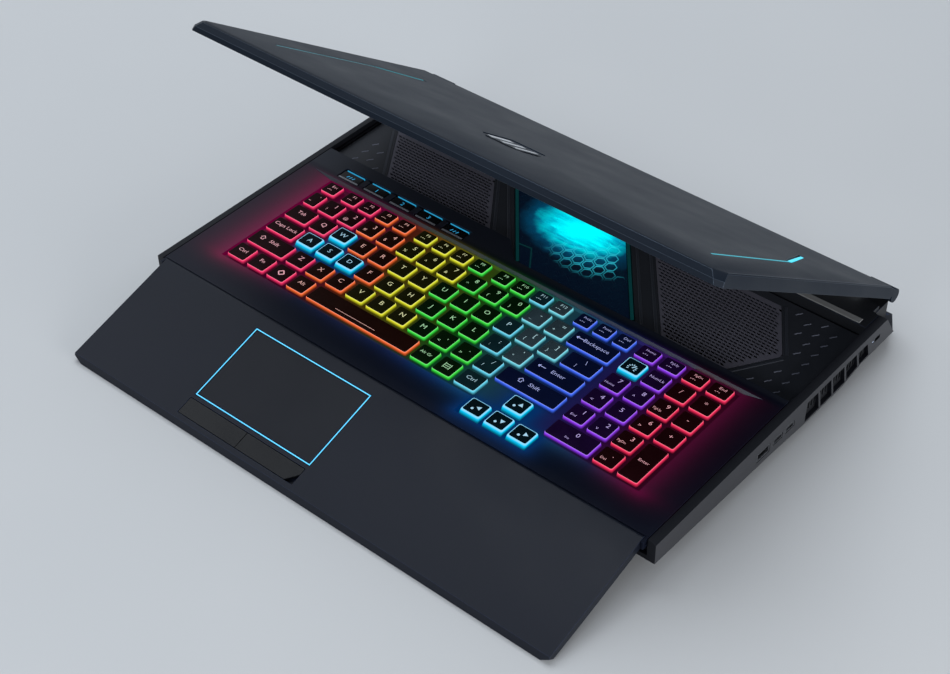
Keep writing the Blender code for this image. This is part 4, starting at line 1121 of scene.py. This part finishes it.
# ---- lid -------------------------------------------------------------------
refine("lid_cover", "lid", [lid_paint, lid_edge_painted_highlight], 0.5)
GUIDE_X = 175.8
GUIDE_END_X = 164.8
for node, side, wide, thin, thick in (
    ("lid_light_left", -1, 0.5, teal_line, teal_line),
    ("lid_light_right", 1, 1.2, cyan_mid, cyan_light),
):
    low, high = extent(node, LID)
    x = side * GUIDE_X
    bend = low.y + (high.y - low.y) * 0.70
    end = (side * GUIDE_END_X, high.y - 1.2)
    foot = high.z - 0.5
    shape = Shape()
    shape.bar((x, low.y + 0.6), (x + side * 0.8, bend), 0.6, foot, high.z - 0.08, 0)
    shape.bar((x + side * 0.6, bend + 1.0), end, wide, foot, high.z - 0.05, 1)
    shape.build(node + "_guide", "lid", [thin, thick], LID, (node,))
low, high = extent("lid_badge", LID)
shape = Shape()
middle = (low + high) / 2
PLATE = ((-20.0, -13.0), (11.0, -13.0), (20.0, 13.0), (-11.0, 13.0))
levels = (low.z, high.z - 0.15)
shape.stack([[(middle.x + x, middle.y + y, z) for x, y in PLATE] for z in levels], 1)
for k in range(3):
    a = (middle.x - 14.5 + 10.5 * k, middle.y - 9.0)
    shape.bar(a, (a[0] + 6.5, a[1] + 18.0), 3.1 - 0.5 * k, high.z - 0.3, high.z - 0.02, 0, 0.2)
shape.build("lid_badge_bars", "lid", [badge_metal, lid_paint], LID, ("lid_badge",))
refine("screen_bezel", "lid", [plastic, shell_edge_painted_highlight], 0.3)
low, high = extent("screen_bezel", LID)
shape = Shape()
for radius, drop, mark in ((2.6, 0.0, 0), (1.7, 0.05, 1), (0.8, 0.1, 0)):
    shape.stack([circle(0.0, low.y + 5.4, radius, low.z + z) for z in (0.3, -drop)], mark)
for x in (-9.0, 9.0):
    shape.stack([circle(x, low.y + 5.4, 0.6, low.z + z, 12) for z in (0.3, -0.02)], 0)
shape.build("webcam", "lid", [button_paint, steel], LID)
screen = Finish("screen_glass")
black = screen.blend(screen.noise(60.0), (0.004, 0.004, 0.005), (0.007, 0.007, 0.009))
screen.set("Base Color", black)
screen.set("Roughness", screen.noise(8.0) * 0.08 + 0.1)
coat("display_panel", screen)

# ---- floor, lights and camera ----------------------------------------------
floor_mesh = bpy.data.meshes.new("floor")
floor_mesh.from_pydata([(-7, -7, 0), (7, -7, 0), (7, 7, 0), (-7, 7, 0)], [], [(0, 1, 2, 3)])
floor = bpy.data.objects.new("floor", floor_mesh)
bpy.context.scene.collection.objects.link(floor)
floor_paint = Finish("pale_floor", Roughness=0.7)
pale = floor_paint.blend(floor_paint.noise(260.0, 2.0), (0.60, 0.61, 0.62), (0.64, 0.645, 0.65))
floor_paint.set("Base Color", pale)
floor_mesh.materials.append(floor_paint.material)


def soft_light(name, power, size, place, aim, colour=(1.0, 1.0, 1.0)):
    lamp = bpy.data.lights.new(name, "AREA")
    lamp.shape = "RECTANGLE"
    lamp.size, lamp.size_y = size
    lamp.energy = power
    lamp.color = colour
    obj = bpy.data.objects.new(name, lamp)
    obj.location = place
    obj.rotation_euler = (Vector(aim) - Vector(place)).to_track_quat("-Z", "Y").to_euler()
    bpy.context.scene.collection.objects.link(obj)


soft_light("top_light", 20.0, (1.6, 1.2), (-0.5, 0.7, 1.8), (0.0, 0.0, 0.0), (0.88, 0.94, 1.0))
soft_light("left_light", 5.0, (0.9, 1.4), (-1.5, -0.4, 0.9), (0.0, 0.0, 0.05), (0.90, 0.95, 1.0))
soft_light("right_light", 12.0, (0.9, 0.7), (1.6, -0.2, 0.35), (0.2, 0.05, 0.03))
soft_light("front_light", 3.0, (0.7, 0.3), (0.1, -1.1, 0.5), (0.0, 0.08, 0.02), (0.9, 0.95, 1.0))

world = bpy.data.worlds.new("studio")
bpy.context.scene.world = world
world.use_nodes = True
world.node_tree.nodes["Background"].inputs["Color"].default_value = (0.78, 0.84, 0.92, 1.0)
world.node_tree.nodes["Background"].inputs["Strength"].default_value = 0.36

lens = bpy.data.cameras.new("camera")
lens.sensor_width = 36.0
lens.lens = 69.76
camera = bpy.data.objects.new("camera", lens)
camera.location = (0.6106, -0.7268, 0.8386)
camera.rotation_euler = [math.radians(a) for a in (48.73, 0.54, 40.06)]
bpy.context.scene.collection.objects.link(camera)
bpy.context.scene.camera = camera
bpy.context.scene.view_settings.view_transform = "Standard"
